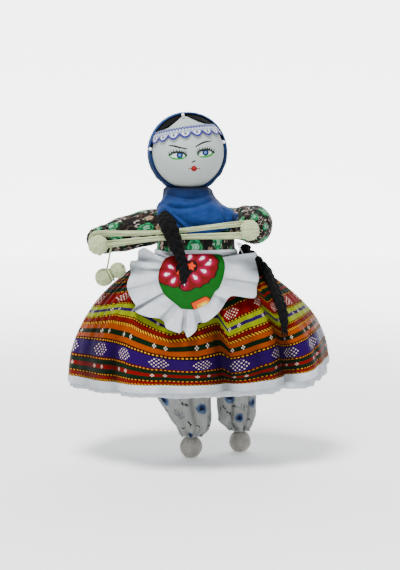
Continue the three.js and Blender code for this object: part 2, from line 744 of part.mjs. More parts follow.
// The skein: one unbroken strand, wound out in a back layer and in again in a front layer, drawn in at its waist.
const skeinInnerRadius = wristRadius + seatGap + yarnDiameter / 2;
function skeinPoint(turn) {
  const phase = turn - Math.floor(turn);
  const layerClimb = THREE.MathUtils.smoothstep(turn, skeinTurns - 0.15, skeinTurns + 0.15);
  const outward = turn < skeinTurns ? turn : 2 * skeinTurns - turn;
  const offset = Math.max(outward, 0) * yarnPitch;
  const span = leftWrist.clone().sub(rightWrist);
  const along = span.clone().normalize();
  const across = v3(-along.z, 0, along.x).normalize();
  const depth = (layerClimb - 0.5) * -yarnPitch;
  const endShare = 0.25;
  let point;
  if (phase < endShare || (phase >= 0.5 && phase < 0.5 + endShare)) {
    const atRight = phase < 0.5;
    const sweep = ((atRight ? phase : phase - 0.5) / endShare) * Math.PI;
    const start = atRight ? -Math.PI / 2 : Math.PI / 2;
    const angle = start - sweep;
    const radius = skeinInnerRadius + offset;
    point = (atRight ? rightWrist : leftWrist).clone()
      .addScaledVector(along, Math.cos(angle) * radius)
      .addScaledVector(across, Math.sin(angle) * radius);
  } else {
    const top = phase < 0.5;
    const run = ((top ? phase : phase - 0.5) - endShare) / (0.5 - endShare);
    const share = top ? run : 1 - run;
    const drawn = Math.pow(Math.sin(Math.PI * Math.pow(share, 0.85)), 1.6);
    const inner = skeinInnerRadius + (waistOffset - skeinInnerRadius) * drawn;
    point = rightWrist.clone().addScaledVector(span, share)
      .addScaledVector(across, (top ? 1 : -1) * (inner + offset));
  }
  return point.add(v3(0, depth, 0));
}

const skeinRoute = [];
for (let i = 0; i <= 2 * skeinTurns * skeinLoopSteps; i += 1) skeinRoute.push(skeinPoint(i / skeinLoopSteps));
console.log(`skein: least gap ${leastGap(skeinRoute, yarnDiameter).toFixed(2)} mm over ${2 * skeinTurns} loops`);
addMesh(armGroup, 'skein', tube(skeinRoute, () => yarnDiameter / 2, 5), material(colours.wool, 0.9));

// The wool bundle: two lobes wound round with one strand, and the strand that it hangs by
const strandShare = 0.085;
const strandTop = rightWrist.clone().lerp(leftWrist, strandShare)
  .add(v3(0, yarnPitch / 2, -skeinInnerRadius - (skeinTurns - 0.35) * yarnPitch - yarnDiameter / 2 - seatGap));
const bundleCentre = v3(strandTop.x - 0.5, strandTop.y, strandTop.z - strandDrop - strandTuck);
const bundleAxis = v3(Math.cos(bundleLean * degree), 0, Math.sin(bundleLean * degree));
const bundleUp = v3(-bundleAxis.z, 0, bundleAxis.x);
const lobeA = -lobeSpacing * 0.48;
const lobeB = lobeSpacing * 0.52;

// The route of the winding in profile, as distance along the bundle's axis and distance from it.
function windingProfile() {
  const route = [];
  for (const angle of [180, 155, 130, 103, 77, 50]) {
    route.push([lobeA + lobeRadius * Math.cos(angle * degree), lobeRadius * Math.sin(angle * degree)]);
  }
  route.push([(lobeA + lobeRadius + lobeB - smallLobeRadius) / 2, bundleWaist]);
  for (const angle of [130, 103, 77, 50, 25, 0]) {
    route.push([lobeB + smallLobeRadius * Math.cos(angle * degree), smallLobeRadius * Math.sin(angle * degree)]);
  }
  return new THREE.CatmullRomCurve3(route.map(([s, r]) => v3(s, r, 0)), false, 'centripetal');
}

const bundleProfile = windingProfile();
function bundleCore() {
  const count = 13;
  const away = woundDiameter / 2 + woundGap;
  const profile = [];
  for (let i = 0; i <= count; i += 1) {
    const point = bundleProfile.getPointAt(i / count);
    const forward = bundleProfile.getTangentAt(i / count);
    const end = i === 0 || i === count;
    const inset = i === 0 ? away : -away;
    profile.push(end
      ? new THREE.Vector2(0, point.x + inset)
      : new THREE.Vector2(point.y - forward.x * away, point.x + forward.y * away));
  }
  const lathe = new THREE.LatheGeometry(profile, 12);
  lathe.applyMatrix4(new THREE.Matrix4().makeBasis(bundleUp, bundleAxis, v3(0, 1, 0)));
  return lathe.translate(bundleCentre.x, bundleCentre.y, bundleCentre.z);
}

// The winding climbs the profile by one even step in every turn.
function bundleWinding() {
  const points = [];
  const stepsPerTurn = 10;
  const length = bundleProfile.getLength();
  for (let travelled = 0; travelled < length; travelled += woundPitch / stepsPerTurn) {
    const place = bundleProfile.getPointAt(travelled / length);
    if (place.y < woundDiameter) continue;
    const angle = (2 * Math.PI * travelled) / woundPitch;
    points.push(bundleCentre.clone().addScaledVector(bundleAxis, place.x)
      .addScaledVector(bundleUp, Math.cos(angle) * place.y)
      .add(v3(0, Math.sin(angle) * place.y, 0)));
  }
  return points;
}

const windingRoute = bundleWinding();
console.log(`bundle winding: least gap ${leastGap(windingRoute, woundDiameter).toFixed(2)} mm`);

// The strand drops from the skein and is tied round the bundle's waist.
function strandRoute() {
  const tieRadius = bundleWaist + woundDiameter / 2 + 2 * seatGap + strandDiameter / 2;
  const points = [strandTop.clone().add(v3(0, 0, -0.35))];
  const tieStart = bundleCentre.clone().addScaledVector(bundleUp, tieRadius);
  for (let i = 1; i <= 5; i += 1) points.push(strandTop.clone().lerp(tieStart, i / 6));
  for (let i = 0; i <= 14; i += 1) {
    const angle = (i / 14) * 1.75 * Math.PI;
    points.push(bundleCentre.clone()
      .addScaledVector(bundleAxis, -0.2 + (0.4 * i) / 14)
      .addScaledVector(bundleUp, Math.cos(angle) * tieRadius)
      .add(v3(0, -Math.sin(angle) * tieRadius, 0)));
  }
  return points;
}

const strandPoints = strandRoute();
const strandCurve = new THREE.CatmullRomCurve3(strandPoints, false, 'centripetal');
const strandSection = new THREE.Shape(Array.from({ length: 8 }, (_, j) => new THREE.Vector2(
  (strandDiameter / 2) * Math.cos((j / 8) * 2 * Math.PI),
  (strandDiameter / 2) * Math.sin((j / 8) * 2 * Math.PI),
)));
console.log(`hanging strand: ${strandCurve.getLength().toFixed(1)} mm`);
addMesh(
  armGroup,
  'yarn_strand',
  new THREE.ExtrudeGeometry(strandSection, { steps: 22, extrudePath: strandCurve, bevelEnabled: false }),
  material(colours.wool, 0.9),
);
addMesh(armGroup, 'wool_bundle_core', bundleCore(), material(colours.wool, 0.95));
addMesh(armGroup, 'wool_bundle_winding', tube(windingRoute, () => woundDiameter / 2, 5), material(colours.wool, 0.9));

// Braids: [x, y, z, half-width], flattened against what they lie on
const braidThickness = 0.72;
function braid(stations, outwardAt) {
  const curve = new THREE.CatmullRomCurve3(stations.map(([x, y, z]) => v3(x, y, z)), false, 'centripetal');
  const widths = new THREE.CatmullRomCurve3(stations.map((s, i) => v3(i, s[3], 0)), false, 'catmullrom');
  const steps = 10;
  const rings = [];
  for (let i = 0; i <= steps; i += 1) {
    const centre = curve.getPoint(i / steps);
    const forward = curve.getTangent(i / steps);
    const facing = outwardAt(centre);
    const outward = facing.addScaledVector(forward, -facing.dot(forward)).normalize();
    const side = v3(0, 0, 0).crossVectors(forward, outward);
    const half = widths.getPoint(i / steps).y;
    rings.push(Array.from({ length: 8 }, (_, j) => {
      const angle = (j / 8) * 2 * Math.PI;
      return centre.clone().addScaledVector(side, Math.cos(angle) * half)
        .addScaledVector(outward, Math.sin(angle) * half * braidThickness);
    }));
  }
  return skin(rings);
}

const skeinFrontAt = (x) => {
  const share = (x - rightWrist.x) / (leftWrist.x - rightWrist.x);
  return rightWrist.y + (leftWrist.y - rightWrist.y) * share - yarnPitch / 2 - yarnDiameter / 2;
};
const onApron = (x, z, half) => {
  const lift = (half * braidThickness + apronWall + 2 * seatGap) / skirtLean(z).level;
  return [x, apronDepth(x, z) - lift, z, half];
};
const inFrontOfSkein = (x, z, half) => [x, skeinFrontAt(x) - 2 * seatGap - half * braidThickness, z, half];
const rightBraidStations = [
  [-38, -24.2, 243, 5],
  [-35.5, -33, 242, 6.5],
  inFrontOfSkein(-30.5, 234.5, 8.5),
  inFrontOfSkein(-26, 224, 8),
  [-21, skeinFrontAt(-21) - 7, 212, 6.2],
  onApron(-16, 196, 5.2),
  onApron(-13.5, 184, 4.6),
  onApron(-13, 177, 3),
];

// The direction square to the skirt's outer face next to a point.
function skirtNormal({ x, y, z }) {
  const { x: middle, halfWidth, halfDepth, fold } = skirtSize(z);
  const { level, up } = skirtLean(z);
  const flat = v3((x - middle) / Math.pow(halfWidth + fold, 2), y / Math.pow(halfDepth + fold, 2), 0).normalize();
  return flat.multiplyScalar(level).add(v3(0, 0, up));
}

// A place on the skirt's outer face, standing off square to it, that is x to the side of the middle.
function besideSkirt(x, z, proud) {
  let angle = 0;
  let place;
  for (let i = 0; i < 12; i += 1) {
    const height = levelHeight(-angle, z);
    const { x: middle, halfWidth, halfDepth, fold } = skirtSize(height);
    const { level, up } = skirtLean(height);
    const wide = halfWidth + fold;
    const deep = halfDepth + fold;
    const normal = v3(Math.cos(angle) * deep, -Math.sin(angle) * wide, 0).normalize();
    place = v3(middle + wide * Math.cos(angle), -deep * Math.sin(angle), z + proud * up)
      .addScaledVector(normal, proud * level);
    angle = Math.acos(THREE.MathUtils.clamp((x - middle - normal.x * proud) / wide, -1, 1));
  }
  return place;
}

const leftBraidStations = [
  [49, 203, 6.6], [53.5, 196, 7], [61, 187, 6.8], [69, 178, 6.4], [76, 162, 5.8], [80.5, 146, 5], [83, 132, 3.4],
].map(([x, z, half]) => {
  const point = besideSkirt(x, z, half * braidThickness + 2 * seatGap);
  return [point.x, point.y, point.z, half];
});
addMesh(torsoGroup, 'right_braid', braid(rightBraidStations, () => v3(0, -1, 0)), material(colours.black, 0.8));
addMesh(torsoGroup, 'left_braid', braid(leftBraidStations, skirtNormal), material(colours.black, 0.8));

// Legs: a hip ball, a baggy trouser leg gathered at the ankle, a rod inside and a ball foot
// Trouser sections as [z, centre x, centre y, half-width, half-depth]
const rightTrouser = [
  [hipZ - trouserTopDrop, -21, 0, 13, 13],
  [150, -20, -1, 20, 18],
  [100, -18, -2, 26, 20],
  [66, -15.5, -3, 26.5, 20],
  [42, -10, -4, 21, 18],
  [28, -6, -4.5, 15.5, 14],
  [21.5, -8, -5, 9.5, 9.5],
];
const leftTrouser = [
  [hipZ - trouserTopDrop, 15, 0, 13, 13],
  [150, 27, 4, 16, 17],
  [100, 34, 10, 18, 18],
  [66, 36.5, 15, 20, 18],
  [42, 37, 19, 19, 17],
  [30, 37.5, 21, 17.5, 15],
  [22, 40.5, 22, 9.5, 9.5],
];

function trouserLeg(sections, hip, foot, flatSide) {
  const sides = 18;
  const heights = new THREE.CatmullRomCurve3(sections.map(([z, x, y]) => v3(x, y, z)), false, 'centripetal');
  const sizes = new THREE.CatmullRomCurve3(sections.map(([, , , a, b], i) => v3(a, b, i)), false, 'catmullrom');
  const steps = 8;
  const rings = [];
  for (let i = 0; i <= steps; i += 1) {
    const centre = heights.getPoint(i / steps);
    const size = sizes.getPoint(i / steps);
    const pleat = trouserPleat * Math.sin((Math.PI * i) / steps);
    rings.push(Array.from({ length: sides }, (_, j) => {
      const angle = (j / sides) * 2 * Math.PI;
      const wave = pleat * Math.cos(6 * angle);
      return v3(centre.x + (size.x + wave) * Math.cos(angle), centre.y + (size.y + wave) * Math.sin(angle), centre.z);
    }));
  }
  const rod = bar(hip, foot, legRodRadius + seatGap, 8);
  const apart = new THREE.BoxGeometry(60, 120, 400).translate(legGapX + flatSide * (30 + legGap), 0, hipZ / 2);
  return cut(
    join(ballAt(hip, hipRadius, 16, 8, true), skin(rings)),
    rod,
    ballAt(foot, footRadius + seatGap, 16, 10),
    apart,
  );
}

function footBall(foot, hip) {
  const floor = new THREE.BoxGeometry(60, 60, 20).translate(foot.x, foot.y, -10);
  return cut(ballAt(foot, footRadius, 16, 10), bar(hip, foot, legRodRadius + seatGap, 8), floor);
}

const rightFoot = v3(-9, -5, footRadius - footFlat);
const leftFoot = v3(41, 22, footRadius - footFlat);
for (const [name, sections, hip, foot, flatSide] of [
  ['right', rightTrouser, rightHip, rightFoot, 1],
  ['left', leftTrouser, leftHip, leftFoot, -1],
]) {
  addMesh(legGroup, `${name}_trouser`, trouserLeg(sections, hip, foot, flatSide), material(colours.trouser, 0.9));
  const along = hip.clone().sub(foot).normalize();
  const rodFoot = foot.clone().addScaledVector(along, seatGap * 2);
  const rod = bar(rodFoot, hip.clone().addScaledVector(along, -seatGap * 2), legRodRadius, 8);
  addMesh(legGroup, `${name}_leg_rod`, rod, material(colours.wood, 0.7));
  addMesh(legGroup, `${name}_foot`, footBall(foot, hip), material(colours.calico, 0.9));
}

export default root;
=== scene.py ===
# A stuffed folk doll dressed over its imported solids: scarf, painted face, brocade skirt, apron and skein.
import json
from math import acos, atan2, cos, degrees, exp, hypot, pi, radians, sin, sqrt, tan

import bmesh
import bpy
import numpy as np
from mathutils import Matrix, Vector


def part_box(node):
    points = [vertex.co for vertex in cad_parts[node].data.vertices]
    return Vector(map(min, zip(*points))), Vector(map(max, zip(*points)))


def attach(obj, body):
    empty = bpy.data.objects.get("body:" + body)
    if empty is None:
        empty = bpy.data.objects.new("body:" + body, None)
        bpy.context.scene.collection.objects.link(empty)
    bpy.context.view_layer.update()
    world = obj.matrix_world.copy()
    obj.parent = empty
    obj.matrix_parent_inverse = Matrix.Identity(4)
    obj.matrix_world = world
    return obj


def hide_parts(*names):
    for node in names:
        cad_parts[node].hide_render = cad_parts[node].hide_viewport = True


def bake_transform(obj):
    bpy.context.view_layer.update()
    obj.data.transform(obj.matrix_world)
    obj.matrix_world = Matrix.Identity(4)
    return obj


bl_info = {
    "name": "Folk Rag Doll",
    "version": (1, 0, 0),
    "blender": (4, 5, 0),
    "location": "View3D > Sidebar > Rag Doll",
    "description": "Dresses the packed rag doll with cloth, wool, braids and a painted face",
    "category": "Object",
}

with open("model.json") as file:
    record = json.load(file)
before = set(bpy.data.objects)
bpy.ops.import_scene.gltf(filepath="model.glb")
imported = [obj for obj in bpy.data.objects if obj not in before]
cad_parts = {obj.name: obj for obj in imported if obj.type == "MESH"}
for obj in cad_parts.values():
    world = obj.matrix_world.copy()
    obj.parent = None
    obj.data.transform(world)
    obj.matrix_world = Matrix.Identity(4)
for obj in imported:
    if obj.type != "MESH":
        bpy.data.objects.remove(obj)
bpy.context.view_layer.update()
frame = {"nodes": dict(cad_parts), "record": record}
MM = 0.001
CIRCLE = 2 * pi
THIN_CLOTH = 0.3 * MM
HEM_BAND_WALL = 0.9 * MM

# The photograph's frame, in pixels, and the camera that took it, in millimetres and degrees
PHOTO_WIDTH = 400
PHOTO_HEIGHT = 570
CAMERA_DISTANCE = 1300
CAMERA_RISE = 5
CAMERA_AIM = 173
CAMERA_FIELD = 24.7

# How much light a white dye gives back, and how much deeper than they look the other dyes are laid
DYE_STRENGTH = 0.74
DYE_DEPTH = 1.7


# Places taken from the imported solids, in millimetres
NECK = next(joint for joint in frame["record"]["behaviour"]["joints"] if joint["name"] == "neck_turn")
HEAD_CENTRE = np.array(NECK["pos_m"]) / MM
HEAD_UP = np.array(NECK["axis"])
BALL_RADIUS = 36.3
HEAD_TURN = radians(6)
WAIST_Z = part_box("skirt")[1][2] / MM

HEAD_Z_AXIS = HEAD_UP / np.linalg.norm(HEAD_UP)
HEAD_X_AXIS = np.cross([0, 1, 0], HEAD_Z_AXIS)
FACE_RIGHT = cos(HEAD_TURN) * HEAD_X_AXIS + sin(HEAD_TURN) * np.array([0, 1, 0])
FACE_BACK = -sin(HEAD_TURN) * HEAD_X_AXIS + cos(HEAD_TURN) * np.array([0, 1, 0])


def head_point(local):
    """Points given to the face's right, back and up, in millimetres, put where the head stands."""
    local = np.asarray(local, float)
    return (
        HEAD_CENTRE
        + local[..., 0:1] * FACE_RIGHT
        + local[..., 1:2] * FACE_BACK
        + local[..., 2:3] * HEAD_Z_AXIS
    )


def ease(low, high, x):
    """A smooth step from 0 at low to 1 at high."""
    t = np.clip((x - low) / (high - low), 0, 1)
    return t * t * (3 - 2 * t)


def from_back(u):
    """The compass angle of a share of the way round that starts at the doll's back."""
    return CIRCLE * u + pi / 2


def places(x, y, z):
    return np.stack([x, y, z], axis=-1)


def unit(rows):
    return rows / np.linalg.norm(rows, axis=-1)[..., None]


def heading(angle):
    """The way to an angle, as two numbers."""
    return np.array([cos(angle), sin(angle)])


def square_to(way):
    return np.array([-way[1], way[0]])


def nearest_on(spots, a, b):
    """Where each spot's nearest place on a line lies, from 0 to 1, and how far away it is."""
    span = b - a
    t = np.clip((spots - a) @ span / max(span @ span, 1e-9), 0, 1)
    return t, np.linalg.norm(spots - a - t[:, None] * span, axis=1)


def smooth_curve(stations, share, closed=False):
    """A Catmull-Rom curve through rows of numbers, read at shares of its length from 0 to 1."""
    rows = np.asarray(stations, float)
    count = len(rows)
    spans = count if closed else count - 1
    place = np.clip(np.asarray(share, float), 0, 1) * spans
    first = np.minimum(place.astype(int), spans - 1)
    t = (place - first)[..., None]

    def row(i):
        return rows[i % count] if closed else rows[np.clip(i, 0, count - 1)]

    a, b, c, d = row(first - 1), row(first), row(first + 1), row(first + 2)
    return 0.5 * (2 * b + (c - a) * t + (2 * a - 5 * b + 4 * c - d) * t**2 + (3 * b - a - 3 * c + d) * t**3)


def crumple(u, v, seed, waves=7, low=1.0, high=6.0):
    """A soft random height from -1 to 1 over two coordinates, the same in every run."""
    dice = np.random.default_rng(seed)
    height = np.zeros(np.broadcast(u, v).shape)
    for _ in range(waves):
        angle = dice.uniform(0, CIRCLE)
        pace = dice.uniform(low, high)
        shift = dice.uniform(0, CIRCLE)
        height += np.sin(CIRCLE * pace * (np.cos(angle) * u + np.sin(angle) * v) + shift)
    return height / waves * 1.6


def dyes():
    """The colours set in the panel."""
    return bpy.context.scene.rag_doll_dyes


def sizes():
    """The sizes set in the panel."""
    return bpy.context.scene.rag_doll_sizes


def object_from(name, mesh, body, slot, *materials):
    piece = bpy.data.objects.new(name, mesh)
    bpy.context.scene.collection.objects.link(piece)
    for material in materials:
        mesh.materials.append(material)
    mesh.polygons.foreach_set("use_smooth", [True] * len(mesh.polygons))
    if body:
        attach(piece, body)
    return piece


def dressed(name, mesh, body, slot, material, node, wall=0.0):
    """A piece that stands for a node of the part, with its material and, on its inner side, its cloth's
    thickness in metres."""
    piece = object_from(name, mesh, body, slot, material)
    if wall:
        inner = piece.modifiers.new("cloth wall", "SOLIDIFY")
        inner.thickness = wall
        inner.offset = -1.0
        inner.use_even_offset = False
    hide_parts(node)
    return piece


def reshaped(mesh, change):
    """Puts a mesh through a change made by bmesh operators."""
    shape = bmesh.new()
    shape.from_mesh(mesh)
    change(shape)
    shape.to_mesh(mesh)
    shape.free()
    return mesh


def cloth_grid(name, columns, rows, place, wrap=False):
    """A mesh of columns by rows whose points lie where place(u, v) says, in millimetres, with u and v from
    0 to 1. wrap joins its first and last columns, and any row that shrinks to a point."""
    grid = bmesh.new()
    bmesh.ops.create_grid(grid, x_segments=columns, y_segments=rows, size=0.5)
    layer = grid.loops.layers.uv.new("cloth")
    for face in grid.faces:
        for loop in face.loops:
            loop[layer].uv = (loop.vert.co.x + 0.5, loop.vert.co.y + 0.5)
    mesh = bpy.data.meshes.new(name)
    grid.to_mesh(mesh)
    grid.free()
    flat = np.empty(len(mesh.vertices) * 3)
    mesh.vertices.foreach_get("co", flat)
    flat = flat.reshape(-1, 3) + 0.5
    spots = np.asarray(place(flat[:, 0], flat[:, 1]), float) * MM
    mesh.vertices.foreach_set("co", spots.ravel())
    if wrap:
        reshaped(mesh, lambda seam: bmesh.ops.remove_doubles(seam, verts=seam.verts, dist=1e-6))
    mesh.update()
    return mesh


def face_outward(mesh):
    return reshaped(mesh, lambda shape: bmesh.ops.recalc_face_normals(shape, faces=shape.faces))


def face_outward_from(mesh, middle):
    """Turns a sheet's faces away from a point, given in millimetres."""
    centre = Vector(middle) * MM

    def turn(shape):
        shape.normal_update()
        ways = ((face, face.calc_center_median() - centre) for face in shape.faces)
        outward = sum(face.normal.dot(way) * face.calc_area() for face, way in ways)
        if outward < 0:
            bmesh.ops.reverse_faces(shape, faces=shape.faces)

    return reshaped(mesh, turn)


def sheet_mesh(name, columns, rows, place, middle, wrap=True):
    """A grid of cloth that faces away from a point inside it."""
    return face_outward_from(cloth_grid(name, columns, rows, place, wrap), middle)


def carried_frames(points, first_side=(0, 1, 0)):
    """Directions side and up along a line of points, carried along it without twist."""
    points = np.asarray(points, float)
    forward = unit(np.gradient(points, axis=0))
    side = np.array(first_side, float)
    sides = []
    for direction in forward:
        side = unit(side - direction * side.dot(direction))
        sides.append(side)
    return np.array(sides), np.cross(forward, sides)


def ball_mesh(name, around, rings, place):
    """A closed ball whose points lie where place says for their ways from its middle, in millimetres."""
    ball = bmesh.new()
    bmesh.ops.create_uvsphere(ball, u_segments=around, v_segments=rings, radius=1.0)
    for vert in ball.verts:
        vert.co = Vector(np.asarray(place(np.array(vert.co)), float) * MM)
    bmesh.ops.recalc_face_normals(ball, faces=ball.faces)
    mesh = bpy.data.meshes.new(name)
    ball.to_mesh(mesh)
    ball.free()
    return mesh


def tube_mesh(name, points, radii, around=12, flatten=1.0, first_side=(0, 1, 0)):
    """A round closed tube of some radii along points, in millimetres, with u round it and v along it."""
    sides, ups = carried_frames(points, first_side)
    radii = np.pad(np.broadcast_to(np.asarray(radii, float), (len(points),)), 1)
    points, sides, ups = (np.pad(rows, ((1, 1), (0, 0)), mode="edge") for rows in (points, sides, ups))
    rows = len(points) - 1

    def place(u, v):
        row = np.rint(v * rows).astype(int)
        angle = CIRCLE * u
        return (
            points[row]
            + sides[row] * (np.cos(angle) * radii[row] * flatten)[:, None]
            + ups[row] * (np.sin(angle) * radii[row])[:, None]
        )

    return face_outward(cloth_grid(name, around, rows, place, wrap=True))


def joined(name, meshes):
    """Several meshes in one, each keeping its UV map."""
    whole = bmesh.new()
    for mesh in meshes:
        whole.from_mesh(mesh)
        bpy.data.meshes.remove(mesh)
    mesh = bpy.data.meshes.new(name)
    whole.to_mesh(mesh)
    whole.free()
    return mesh


def paint(mesh, name, colours):
    """Gives each point of the mesh its colour, as rows of red, green and blue from 0 to 1."""
    layer = mesh.color_attributes.new(name=name, type="FLOAT_COLOR", domain="POINT")
    rows = np.ones((len(mesh.vertices), 4))
    rows[:, :3] = colours
    layer.data.foreach_set("color", rows.ravel())


def points_of(mesh):
    flat = np.empty(len(mesh.vertices) * 3)
    mesh.vertices.foreach_get("co", flat)
    return flat.reshape(-1, 3) / MM


def loop_uvs(mesh):
    """The UV coordinates of each face's corners."""
    loops = np.empty(len(mesh.loops) * 2)
    mesh.uv_layers["cloth"].data.foreach_get("uv", loops)
    return loops.reshape(-1, 2)


def uv_of(mesh):
    """The mesh's UV coordinates, one row for each point."""
    owner = np.empty(len(mesh.loops), int)
    mesh.loops.foreach_get("vertex_index", owner)
    rows = np.zeros((len(mesh.vertices), 2))
    rows[owner] = loop_uvs(mesh)
    return rows


def dye(hexcode):
    """The dye for a colour that shows as that hex code: darker, because the strong soft light lifts it."""
    parts = [int(hexcode[i : i + 2], 16) / 255 for i in (1, 3, 5)]
    return DYE_STRENGTH * np.array([((c + 0.055) / 1.055) ** (2.4 * DYE_DEPTH) for c in parts])


class Finish:
    """A material put together from shader nodes. Each step gives back a socket that later steps take in."""

    def __init__(self, name, roughness, sheen=0.0, specular=0.4, metallic=0.0, coat=0.0):
        self.material = bpy.data.materials.new(name)
        self.material.use_nodes = True
        self.tree = self.material.node_tree
        self.shader = self.tree.nodes["Principled BSDF"]
        self.set("Roughness", roughness)
        self.set("Sheen Weight", sheen)
        self.set("Sheen Roughness", 0.45)
        self.set("Specular IOR Level", specular)
        self.set("Metallic", metallic)
        self.set("Coat Weight", coat)
        self.texture = self.node("TexCoord")

    def set(self, name, value):
        self.shader.inputs[name].default_value = value

    def join(self, value, socket):
        if isinstance(value, bpy.types.NodeSocket):
            self.tree.links.new(value, socket)
        elif isinstance(value, (int, float)):
            socket.default_value = value
        else:
            socket.default_value = (*value, 1.0)[: len(socket.default_value)]

    def node(self, kind, sockets=(), **settings):
        """A shader node with its settings, and with values or earlier steps joined to its sockets."""
        node = self.tree.nodes.new("ShaderNode" + kind)
        for name, value in settings.items():
            setattr(node, name, value)
        for socket, value in dict(sockets).items():
            self.join(value, node.inputs[socket])
        return node

    def maths(self, how, *values):
        return self.node("Math", enumerate(values), operation=how).outputs[0]

    def minus(self, first, second):
        return self.maths("SUBTRACT", first, second)

    def root(self, value):
        return self.maths("POWER", value, 0.5)

    def sum(self, *values):
        total = values[0]
        for value in values[1:]:
            total = self.maths("ADD", total, value)
        return total

    def times(self, *values):
        total = values[0]
        for value in values[1:]:
            total = self.maths("MULTIPLY", total, value)
        return total

    def less(self, value, limit, softness=0.0):
        """1 where value is under limit and 0 elsewhere, turning over twice the softness."""
        if not softness:
            return self.maths("LESS_THAN", value, limit)
        band = {"From Min": limit - softness, "From Max": limit + softness, "To Min": 1.0, "To Max": 0.0}
        node = self.node("MapRange", {"Value": value, **band}, interpolation_type="SMOOTHSTEP")
        return node.outputs["Result"]

    def mix(self, share, first, second, how="MIX"):
        return self.node("Mix", {0: share, 6: first, 7: second}, data_type="RGBA", blend_type=how).outputs[2]

    def tinted(self, colour, tint):
        return self.mix(1.0, colour, tint, "MULTIPLY")

    def place(self):
        """Object coordinates in millimetres."""
        spot = self.texture.outputs["Object"]
        return self.node("VectorMath", {0: spot, "Scale": 1 / MM}, operation="SCALE").outputs[0]

    def split(self, vector):
        return self.node("SeparateXYZ", {0: vector}).outputs[:]

    def vector(self, x, y, z=0.0):
        return self.node("CombineXYZ", enumerate((x, y, z))).outputs[0]

    def along_cloth(self, width, length):
        """The piece's own u and v, in millimetres of cloth."""
        u, v, _ = self.split(self.node("UVMap", uv_map="cloth").outputs[0])
        return self.times(u, width), self.times(v, length)

    def noise(self, vector, size, detail=2.0, roughness=0.55):
        """Soft random values about 0.5, in patches of that size."""
        look = {"Scale": 1 / size, "Detail": detail, "Roughness": roughness}
        return self.node("TexNoise", {"Vector": vector, **look}).outputs["Fac"]

    def ramp(self, value, stops, stepped=False):
        node = self.node("ValToRGB", {"Fac": value})
        ramp = node.color_ramp
        ramp.interpolation = "CONSTANT" if stepped else "LINEAR"
        for element, (position, colour) in zip(ramp.elements, stops):
            element.position = position
            element.color = (*colour, 1.0)
        for position, colour in stops[2:]:
            ramp.elements.new(position).color = (*colour, 1.0)
        return node.outputs["Color"]

    def painted(self, name):
        return self.node("Attribute", attribute_name=name).outputs["Color"]

    def threads(self, first, second, pitch):
        """Height of a plain weave over two lengths in millimetres."""
        over = self.maths("SINE", self.times(first, pi / pitch))
        under = self.maths("SINE", self.times(second, pi / pitch))
        return self.times(over, under)

    def relief(self, height, depth):
        """Bump of that depth in millimetres."""
        return self.node("Bump", {"Distance": depth * MM, "Strength": 1.0, "Height": height}).outputs[0]

    def done(self, colour, normal=None, roughness=None):
        self.join(colour, self.shader.inputs["Base Color"])
        if normal is not None:
            self.tree.links.new(normal, self.shader.inputs["Normal"])
        if roughness is not None:
            self.join(roughness, self.shader.inputs["Roughness"])
        return self.material


def jersey_finish(name, attribute):
    """Pale stretched jersey that carries the face's paint."""
    finish = Finish(name, roughness=0.7, sheen=0.03, specular=0.2)
    place = finish.place()
    x, y, z = finish.split(place)
    knit = finish.threads(finish.sum(x, y), z, 0.42)
    mottle = finish.noise(place, 9.0, 3.0)
    tone = finish.ramp(mottle, [(0.3, (0.93, 0.935, 0.94)), (0.7, (1.0, 1.0, 1.0))])
    colour = finish.tinted(finish.painted(attribute), tone)
    height = finish.sum(finish.times(knit, 0.5), finish.noise(place, 0.5))
    return finish.done(colour, finish.relief(height, 0.05))


def felt_finish(name, colour, patch_colour):
    """Matt felt or wool with short fuzz."""
    finish = Finish(name, roughness=0.95, sheen=0.03, specular=0.08)
    place = finish.place()
    fuzz = finish.noise(place, 0.6, 4.0, 0.7)
    patches = finish.noise(place, 7.0, 2.0)
    tone = finish.mix(finish.times(patches, fuzz), colour, patch_colour)
    return finish.done(tone, finish.relief(fuzz, 0.25))


def voile_finish(name, width, length):
    """Thin crinkled cotton with a visible weave."""
    finish = Finish(name, roughness=0.8, sheen=0.06, specular=0.12)
    place = finish.place()
    u, v = finish.along_cloth(width, length)
    weave = finish.threads(u, v, 0.38)
    streaks = finish.noise(finish.vector(finish.times(u, 0.25), v), 1.6, 3.0)
    patches = finish.noise(place, 11.0, 2.0)
    share = finish.sum(finish.times(streaks, 0.45), finish.times(patches, 0.5))
    colour = finish.mix(share, dyes().scarf_deep, dyes().scarf_light)
    colour = finish.tinted(colour, finish.painted("scarf_shade"))
    height = finish.sum(finish.times(weave, 0.35), finish.times(streaks, 1.2))
    return finish.done(colour, finish.relief(height, 0.09))


def pearl_finish(name, colour):
    finish = Finish(name, roughness=0.16, specular=0.6, coat=0.6)
    place = finish.place()
    bloom = finish.noise(place, 0.9, 2.0)
    tone = finish.ramp(bloom, [(0.35, (0.72, 0.74, 0.8)), (0.65, colour)])
    return finish.done(tone, finish.relief(bloom, 0.02))


CAMERA_FORWARD = np.array([0.0, cos(radians(CAMERA_RISE)), -sin(radians(CAMERA_RISE))])
CAMERA_UP = np.array([0.0, sin(radians(CAMERA_RISE)), cos(radians(CAMERA_RISE))])
CAMERA_PLACE = np.array([0.0, 0.0, CAMERA_AIM]) - CAMERA_DISTANCE * CAMERA_FORWARD
PIXELS_PER_TANGENT = PHOTO_HEIGHT / 2 / tan(radians(CAMERA_FIELD / 2))


def seen_at(points):
    """Where the camera sees points, in pixels right and down, as columns."""
    rays = np.asarray(points, float) - CAMERA_PLACE
    depth = rays @ CAMERA_FORWARD
    right = PHOTO_WIDTH / 2 + PIXELS_PER_TANGENT * rays[:, 0] / depth
    down = PHOTO_HEIGHT / 2 - PIXELS_PER_TANGENT * (rays @ CAMERA_UP) / depth
    return np.stack([right, down], axis=1)


